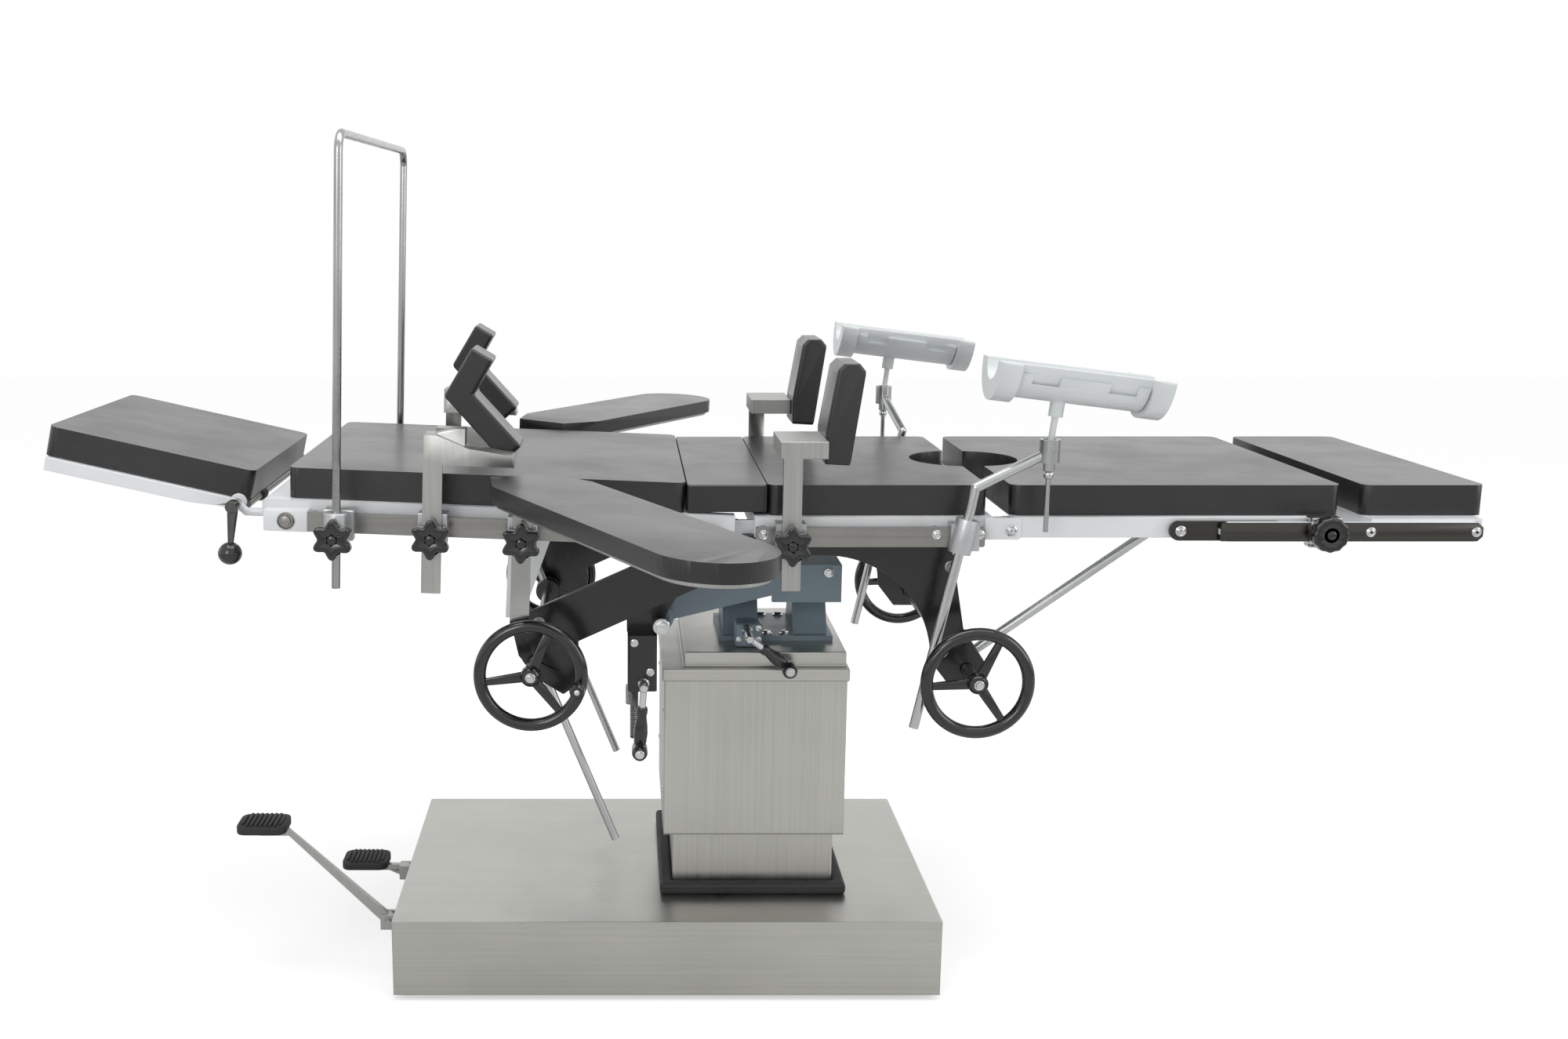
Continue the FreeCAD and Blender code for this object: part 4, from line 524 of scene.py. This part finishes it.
made("back_rail_screws", back_shape, bright_steel, "back", "bright_steel")

# Back frame: white tubes; its head end is a boxed block on each side with a large sunk bolt,
# and a bent dark steel tube carries the head section's hinge.
dress("back_frame", white_coat, 0.002, 3)
shape = bmesh.new()
bolts = bmesh.new()
for side, turn in ((-1, TO_NEAR), (1, TO_FAR)):
    low, high = sorted((side * 0.2622, side * 0.2872))
    place(shape, block((-0.668, low, -0.0185), (-0.606, high, 0.0125), 0.002, 2))
    place(bolts, turning([(0, -0.001), (0.0125, -0.001), (0.0125, 0.001), (0.0108, 0.0022), (0.0098, 0.0006),
                          (0.0075, 0.0006), (0.0068, 0.0026), (0.003, 0.0034), (0, 0.0034)], 32),
          (-0.636, side * 0.2875, -0.003), turn)
for part, name, look, slot in ((shape, "back_end_blocks", white_coat, "frame_paint"),
                               (bolts, "back_end_bolts", rail_steel, "stainless_rail")):
    part.transform(BACK_PLACE)
    made(name, part, look, "back", slot)

# Head section: white flat bars with a round hinge eye, a cross tube with a black bush, and the
# lock: a tapered steel lever with a polished ball that hangs from the hinge.
HEAD_LEAN = 12.8
HEAD_HINGE = (-0.76219, 0, 0.75997)
HEAD_PLACE = Matrix.Translation(HEAD_HINGE) @ Matrix.Rotation(math.radians(HEAD_LEAN), 4, "Y")
dark_steel = machined("dark_steel", (0.13, 0.13, 0.125), 0.24)
moulded_black = painted("moulded_black", (0.0048, 0.0048, 0.0052), 0.13, 0.5, 0.00003, 300.0)
dress("head_frame", white_coat, 0.0015, 3)
shape = bmesh.new()
place(shape, turning([(0, -0.19), (0.006, -0.19), (0.006, 0.19), (0, 0.19)], 24),
      (0.010, 0, -0.0045), TO_NEAR)
shape.transform(HEAD_PLACE)
made("head_cross_tube", shape, rail_steel, "head", "stainless_rail")
shape = bmesh.new()
place(shape, turning([(0, -0.012), (0.0085, -0.012), (0.0095, -0.009), (0.0095, 0.009),
                      (0.0085, 0.012), (0, 0.012)], 24),
      (0.010, -0.10, -0.0045), TO_NEAR)
shape.transform(HEAD_PLACE)
made("head_cross_bush", shape, black_rubber, "head", "black_rubber")
shape = bmesh.new()
place(shape, hex_bolt(0.0065, 1.5), (HEAD_HINGE[0], -0.2296, HEAD_HINGE[2]), TO_NEAR)
place(shape, hex_bolt(0.0065, 1.5), (HEAD_HINGE[0], 0.2296, HEAD_HINGE[2]), TO_FAR)
made("head_hinge_bolts", shape, bright_steel, "back", "bright_steel")
shape = bmesh.new()
LEVER_SWING = 6
place(shape, turning([(0, -0.015), (0.008, -0.015), (0.009, -0.013), (0.009, 0.013),
                      (0.008, 0.015), (0, 0.015)], 28),
      (HEAD_HINGE[0], -0.2375, HEAD_HINGE[2]), TO_NEAR)
place(shape, turning([(0, -0.060), (0.0042, -0.060), (0.0045, -0.050), (0.0075, -0.012),
                      (0.008, 0), (0, 0.002)], 24),
      (HEAD_HINGE[0], -0.239, HEAD_HINGE[2]), (0, LEVER_SWING, 0))
lever = made("head_lock_stem", shape, dark_steel, "head_lock", "steel")
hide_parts("head_lock_lever")
ball = bmesh.new()
bmesh.ops.create_uvsphere(ball, u_segments=32, v_segments=20, radius=0.0172)
bmesh.ops.scale(ball, vec=(1, 1, 0.96), verts=ball.verts)
shape = bmesh.new()
drop = math.radians(LEVER_SWING)
place(shape, ball, (HEAD_HINGE[0] - 0.070 * math.sin(drop), -0.239, HEAD_HINGE[2] - 0.070 * math.cos(drop)))
made("head_lock_ball", shape, moulded_black, "head_lock", "black_plastic")

# Drives: a swivel block on each shaft with a push rod through it; the far back rod is cut with a
# screw thread over its whole length, the near one and the leg rod are plain.
THREAD_RISE = 0.0008


def thread(radius, length, pitch, steps=14):
    """A screw thread's ridge wound around Z from zero up to a length."""
    part = bmesh.new()
    half = pitch * 0.42
    verts = [part.verts.new((radius - 0.0003, 0, -half)), part.verts.new((radius + THREAD_RISE, 0, 0)),
             part.verts.new((radius - 0.0003, 0, half))]
    edges = [part.edges.new((verts[0], verts[1])), part.edges.new((verts[1], verts[2]))]
    turns = int(length / pitch)
    bmesh.ops.spin(part, geom=verts + edges, axis=(0, 0, 1), cent=(0, 0, 0), angle=math.tau * turns,
                   steps=steps * turns, dvec=(0, 0, pitch / steps))
    return part


rod_steel = machined("rod_steel", (0.52, 0.53, 0.53), 0.2)
dress("back_push_rod", rod_steel)
dress("leg_push_rod", rod_steel)
dress("back_drive_block", black_gloss, 0.001)
dress("leg_drive_block", black_gloss, 0.001)
shape = bmesh.new()
place(shape, thread(0.006, 0.286, 0.0035), (-0.2143, 0.2, 0.2386), (0, -22.1, 0))
made("back_rod_thread", shape, rod_steel, "back_rod", "bright_steel")
shape = bmesh.new()
place(shape, thread(0.006, 0.072, 0.003), (-0.186, -0.184, 0.396))
short_screw = turning([(0, 0), (0.0045, 0), (0.0052, 0.001), (0.0052, 0.03), (0, 0.03)], 20)
place(shape, short_screw, (-0.1935, -0.168, 0.4415))
place(shape, thread(0.0052, 0.027, 0.003), (-0.1935, -0.168, 0.4425))
made("jack_screw_thread", shape, rod_steel, "table", "bright_steel")
shape = bmesh.new()
place(shape, hex_bolt(0.009, 1.4), (-0.146, -0.2041, 0.572), TO_NEAR)
place(shape, hex_bolt(0.004), (-0.186, -0.1982, 0.545), TO_NEAR)
place(shape, hex_bolt(0.004), (-0.162, -0.1982, 0.500), TO_NEAR)
made("jack_bolts", shape, bright_steel, "table", "bright_steel")

# Hand cranks: a plated shaft, and a swelling black handle that hangs from it and ends in a round
# boss with its bolt.


def hand_crank(node, body, shaft, front, arm_at, end):
    """The crank between its shaft's place and its end, both (x, z), with the arm at its own depth."""
    run = Vector((end[0] - shaft[0], 0, end[1] - shaft[1]))
    length = run.length
    lean = math.degrees(math.atan2(run.x, run.z))
    steel = bmesh.new()
    place(steel, turning([(0, 0), (0.0085, 0), (0.0085, 0.006), (0.0065, 0.008),
                          (0.0065, front - arm_at + 0.008), (0.005, front - arm_at + 0.010),
                          (0, front - arm_at + 0.010)], 28),
          (shaft[0], front, shaft[1]), TO_NEAR)
    place(steel, turning([(0, -0.004), (0.0052, -0.004), (0.0052, length * 0.4), (0, length * 0.4)], 24),
          (shaft[0], arm_at, shaft[1]), (0, lean, 0))
    place(steel, hex_bolt(0.0052, 1.3), (end[0], arm_at - 0.0262, end[1]), TO_NEAR)
    made(node + "_shaft", steel, bright_steel, body, "bright_steel")
    handle = bmesh.new()
    place(handle, turning([(0, length * 0.32), (0.0072, length * 0.32), (0.0082, length * 0.35),
                           (0.0082, length * 0.42), (0.0070, length * 0.46), (0.0095, length * 0.62),
                           (0.0105, length * 0.74), (0.0095, length * 0.88), (0.0070, length * 0.97),
                           (0, length)], 28),
          (shaft[0], arm_at, shaft[1]), (0, lean, 0))
    place(handle, turning([(0, -0.008), (0.0095, -0.008), (0.0115, -0.005), (0.0118, 0.018), (0.0105, 0.024),
                           (0.0085, 0.026), (0, 0.026)], 28), (end[0], arm_at, end[1]), TO_NEAR)
    grip = made(node + "_handle", handle, moulded_black, body, "black_plastic")
    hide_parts(node)


hand_crank("pitch_crank", "pitch_crank", (-0.172, 0.484), -0.1985, -0.2204, (-0.178, 0.388))
hand_crank("roll_crank", "roll_crank", (-0.012, 0.543), -0.1135, -0.1634, (0.048, 0.497))

# Handwheels: polished black mouldings with a round rim and three flat spokes, each bolted to its
# shaft; those of the back drive have a turning grip on the rim.
WHEEL_R = 0.072
RIM_R = 0.009
WHEEL_Y = 0.320
GRIP_ANGLE = -12


def round_ring(radius, wire, steps=72, sides=18):
    """A round ring about Z."""
    part = bmesh.new()
    bmesh.ops.create_circle(part, segments=sides, radius=wire)
    bmesh.ops.rotate(part, cent=(0, 0, 0), matrix=Matrix.Rotation(math.pi / 2, 3, "X"), verts=part.verts)
    bmesh.ops.translate(part, vec=(radius, 0, 0), verts=part.verts)
    bmesh.ops.spin(part, geom=part.verts[:] + part.edges[:], axis=(0, 0, 1), cent=(0, 0, 0), angle=math.tau,
                   steps=steps, use_merge=True)
    return part


def handwheels(node, body, x, z, first, with_grip):
    """The near and far wheel on one shaft, and the shaft between them."""
    wheel = bmesh.new()
    steel = bmesh.new()
    grips = bmesh.new()
    for side, turn in ((-1, TO_NEAR), (1, TO_FAR)):
        spot = (x, side * WHEEL_Y, z)
        one = bmesh.new()
        place(one, round_ring(WHEEL_R, RIM_R))
        place(one, turning([(0, -0.009), (0.013, -0.009), (0.0145, -0.006), (0.0145, 0.006), (0.013, 0.0095),
                            (0.0105, 0.0115), (0, 0.0115)], 36))
        for step in range(3):
            angle = -side * (first + 120 * step)
            spoke = block((0.008, -0.0078, -0.0035), (WHEEL_R - 0.004, 0.0078, 0.0035))
            for vert in spoke.verts:
                if vert.co.x > 0.03:
                    vert.co.y *= 0.66
            place(one, eased(spoke, 0.002), (0, 0, 0), (0, 0, angle))
        place(wheel, one, spot, turn)
        place(steel, hex_bolt(0.0058, 1.25), (x, side * (WHEEL_Y + 0.0113), z), turn)
        if with_grip:
            reach_out = WHEEL_R - RIM_R / 2
            grip_x = x + reach_out * math.cos(math.radians(GRIP_ANGLE))
            grip_z = z + reach_out * math.sin(math.radians(GRIP_ANGLE))
            place(grips, turning([(0, 0.004), (0.0078, 0.006), (0.0086, 0.010), (0.0104, 0.018),
                                  (0.011, 0.026), (0.0104, 0.032), (0.0082, 0.0345), (0, 0.035)], 28),
                  (grip_x, spot[1], grip_z), turn)
            place(steel, screw_head(0.0045), (grip_x, spot[1] + side * 0.035, grip_z), turn)
    made(node + "_rims", wheel, moulded_black, body, "black_plastic")
    shafts = bmesh.new()
    ends = (-0.311, -0.2154, 0.2154, 0.311) if with_grip else (-0.311, -0.2154, -0.1846, 0.311)
    bars = [ends[:2], ends[2:]]
    if with_grip:
        bars.append((-0.1846, 0.1846))
    for low, high in bars:
        place(shafts, turning([(0, 0), (0.0078, 0), (0.0078, high - low), (0, high - low)], 24),
              (x, low, z), TO_FAR)
    axle = made(node + "_shafts", shafts, rod_steel, body, "bright_steel")
    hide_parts(node)
    made(node + "_bolts", steel, bright_steel, body, "bright_steel")
    if with_grip:
        made(node + "_grips", grips, moulded_black, body, "black_plastic")


handwheels("back_handwheels", "back_wheels", -0.333, 0.531, 68, True)
handwheels("leg_handwheels", "leg_wheels", 0.298, 0.520, 64, False)

# Screen hoop, rail clamps and star knobs: the hoop is one bent plated bar, the clamps are satin
# cast blocks, and each knob is a six-lobed black moulding pressed on its screw.
KNOB_MIDDLE = 0.0245
KNOB_LOBE = 0.0042
KNOB_DEPTH = 0.020
hoop_steel = machined("hoop_steel", (0.40, 0.40, 0.39), 0.18, (4, 4, 60))
cast_metal = painted("cast_metal", (0.50, 0.51, 0.52), 0.34, 0.0, 0.0004, 330.0)
cast_metal.node_tree.nodes["Principled BSDF"].inputs["Metallic"].default_value = 0.75
dress("screen_hoop", hoop_steel)
dress("back_clamps", cast_metal, 0.0022, 3)
dress("seat_clamps", cast_metal, 0.0022, 3)


def star_knob(lobes=6, middle=KNOB_MIDDLE, lobe=KNOB_LOBE):
    """A lobed knob that stands on its back face, with a dished front and a small plug."""
    part = bmesh.new()
    ring = bmesh.ops.create_circle(part, cap_ends=True, segments=96, radius=middle)["verts"]
    for vert in ring:
        angle = math.atan2(vert.co.y, vert.co.x)
        share = 1 + lobe / middle * math.cos(lobes * (angle - math.pi / 2))
        vert.co.x *= share
        vert.co.y *= share
    grown = bmesh.ops.extrude_face_region(part, geom=part.faces[:])
    top = [item for item in grown["geom"] if isinstance(item, bmesh.types.BMVert)]
    bmesh.ops.translate(part, vec=(0, 0, KNOB_DEPTH), verts=top)
    bmesh.ops.recalc_face_normals(part, faces=part.faces)
    rims = [edge for edge in part.edges if len(edge.link_faces) == 2 and edge.calc_face_angle() > 1.2]
    bmesh.ops.bevel(part, geom=rims, offset=0.0035, segments=4, affect="EDGES", profile=0.5, material=-1)
    front = [face for face in part.faces if face.normal.z > 0.99 and face.calc_area() > 0.0003]
    for step, sink in ((0.006, -0.0004), (0.004, -0.0012)):
        bmesh.ops.inset_region(part, faces=front, thickness=step, depth=sink)
    bmesh.ops.recalc_face_normals(part, faces=part.faces)
    place(part, turning([(0, 0), (0.0062, 0), (0.0062, 0.0009), (0.0050, 0.0016), (0, 0.0018)], 24),
          (0, 0, KNOB_DEPTH - 0.0019))
    place(part, turning([(0, -0.004), (0.011, -0.004), (0.013, 0.002), (0, 0.002)], 28))
    return part


for node, body, spot, section, lobes in (
        ("screen_knob", "screen_knob", (-0.560, -0.3335, -0.015), BACK_PLACE, 6),
        ("shoulder_knob", "shoulder_knob", (-0.429, -0.3069, -0.015), BACK_PLACE, 6),
        ("armboard_knob", "armboard_knob", (-0.303, -0.3069, -0.015), BACK_PLACE, 6),
        ("body_knob", "body_knob", (0.033, -0.3069, 0.7175), None, 6),
        ("foot_knob", "foot_knob", (0.787, -0.2873, 0.730), None, 12)):
    shape = bmesh.new()
    lobe = KNOB_LOBE if lobes == 6 else 0.0006
    place(shape, star_knob(lobes, KNOB_MIDDLE, lobe), spot, TO_NEAR)
    if section:
        shape.transform(section)
    knob = made(node + "_moulding", shape, moulded_black, body, "black_plastic", 40)
    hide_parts(node)

# Foot end: dark flat slide bars on the leg frame, in which the foot section's bars run, each
# held by a bright clamp; the bars have sunk screws.
slide_steel = brushed("slide_steel", (0.075, 0.072, 0.066), (3, 300, 300), 0.24)
dress("leg_slides", slide_steel, 0.001)
shape = bmesh.new()
feet = bmesh.new()
for side, turn in ((-1, TO_NEAR), (1, TO_FAR)):
    place(shape, cup_screw(0.005), (0.587, side * 0.2732, 0.730), turn)
    for x in (0.853, 1.002):
        place(feet, cup_screw(0.0045), (x, side * 0.2806, 0.730), turn)
made("leg_slide_screws", shape, bright_steel, "leg", "bright_steel")
made("foot_bar_screws", feet, bright_steel, "foot", "bright_steel")
shape = bmesh.new()
for side in (-1, 1):
    low, high = sorted((side * 0.2736, side * 0.2812))
    place(shape, eased(prism([(0.642, 0.7166), (1.004, 0.7166), (1.0115, 0.7235), (1.0115, 0.7365),
                              (1.004, 0.7434), (0.642, 0.7434), (0.6405, 0.737), (0.6405, 0.723)],
                             low, high), 0.0006))
made("foot_bars", shape, slide_steel, "foot", "stainless_rail")
shape = bmesh.new()
for side in (-1, 1):
    low, high = sorted((side * 0.2660, side * 0.2876))
    place(shape, block((0.7655, low, 0.7085), (0.8085, high, 0.7155), 0.0015, 2))
    place(shape, block((0.7655, low, 0.7445), (0.8085, high, 0.7515), 0.0015, 2))
    low, high = sorted((side * 0.2816, side * 0.2876))
    place(shape, block((0.7655, low, 0.7090), (0.8085, high, 0.7510), 0.0015, 2))
made("foot_clamps", shape, bright_steel, "leg", "bright_steel")

# Cushions: foam under glossy black vinyl, with crisp rounded edges, a fine leather grain and a
# little handling wear; each one sits on a thin board on its frame.
VINYL_BLACK = (0.011, 0.0105, 0.0105)


def vinyl(name, colour, rough=0.3):
    """Upholstery vinyl: leather grain, slow swells of the foam and worn, dusty patches."""
    look = Finish(name, Coat_Weight=0.25, Coat_Roughness=0.2)
    pores = look.add("TexVoronoi", {"feature": "F1"}, {"Vector": look.place, "Scale": 620.0})
    worn = look.band(look.grain(7.0, detail=5.0), 0.42, 0.75)
    look.set(Base_Color=look.mix(worn, tint(colour), tint(colour, 1.8)),
             Roughness=look.band(worn, 0, 1, rough, rough + 0.12),
             Normal=look.bump(pores * 0.5 + look.grain(30.0, detail=4.0) * 3.0, 0.00035, 0.45))
    return look.material


black_vinyl = vinyl("black_vinyl", VINYL_BLACK)
for node, edge, fill in (("seat_pad", 0.005, 0.9), ("fold_pad", 0.005, 0.9), ("back_pad", 0.006, 0.9),
                         ("head_pad", 0.007, 0.85), ("leg_pad", 0.006, 0.9), ("foot_pad", 0.006, 0.9)):
    dress(node, black_vinyl, edge, 4)

# Accessories: each support, board and crutch is a black vinyl cushion on its metal carrier; the
# crutches are white moulded gutters on bent rods.
shell_white = painted("shell_white", (0.72, 0.75, 0.76), 0.35, 0.1, 0.0002, 500.0)
for node, body in (
        ("near_shoulder_support", "near_shoulder"),
        ("far_shoulder_support", "far_shoulder"),
        ("near_body_support", "near_body"),
        ("far_body_support", "far_body"),
        ("near_armboard", "near_armboard"),
        ("far_armboard", "far_armboard")):
    metal = bmesh.new()
    parts = sorted(solids(node), key=lambda part: abs(part.calc_volume()))
    soft = parts.pop()
    for part in parts:
        place(metal, part)
    cushion = made(node + "_cushion", soft, black_vinyl, body, "black_vinyl")
    round_edges(cushion, 0.005, 4)
    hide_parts(node)
    if parts:
        round_edges(made(node + "_carrier", metal, satin_steel, body, "stainless_rail"), 0.0015, 2)
    else:
        metal.free()
dress("armboard_posts", hoop_steel)
for node in ("near_crutch_rod", "far_crutch_rod"):
    dress(node, rod_steel)
for node in ("near_crutch", "far_crutch"):
    dress(node, shell_white, 0.001)

# Floor: a pale sheet just under the rubber feet that the eye sees as white, with the table's
# shadow on it.
grid = bmesh.new()
bmesh.ops.create_grid(grid, x_segments=1, y_segments=1, size=FLOOR_HALF)
bmesh.ops.translate(grid, vec=(0, 0, -FLOOR_SINK), verts=grid.verts)
mesh = bpy.data.meshes.new("floor")
grid.to_mesh(mesh)
grid.free()
floor = bpy.data.objects.new("floor", mesh)
scene.collection.objects.link(floor)
FLOOR_GLOW = 0.47
floor_look = Finish("floor_white", Base_Color=(0.86, 0.86, 0.86, 1.0), Roughness=0.9, Emission_Strength=1.0)
by_eye = floor_look.add("LightPath", {}, {}, "Is Camera Ray")
floor_look.set(Emission_Color=floor_look.mix(by_eye, tint((0, 0, 0)), tint((FLOOR_GLOW,) * 3)))
mesh.materials.append(floor_look.material)
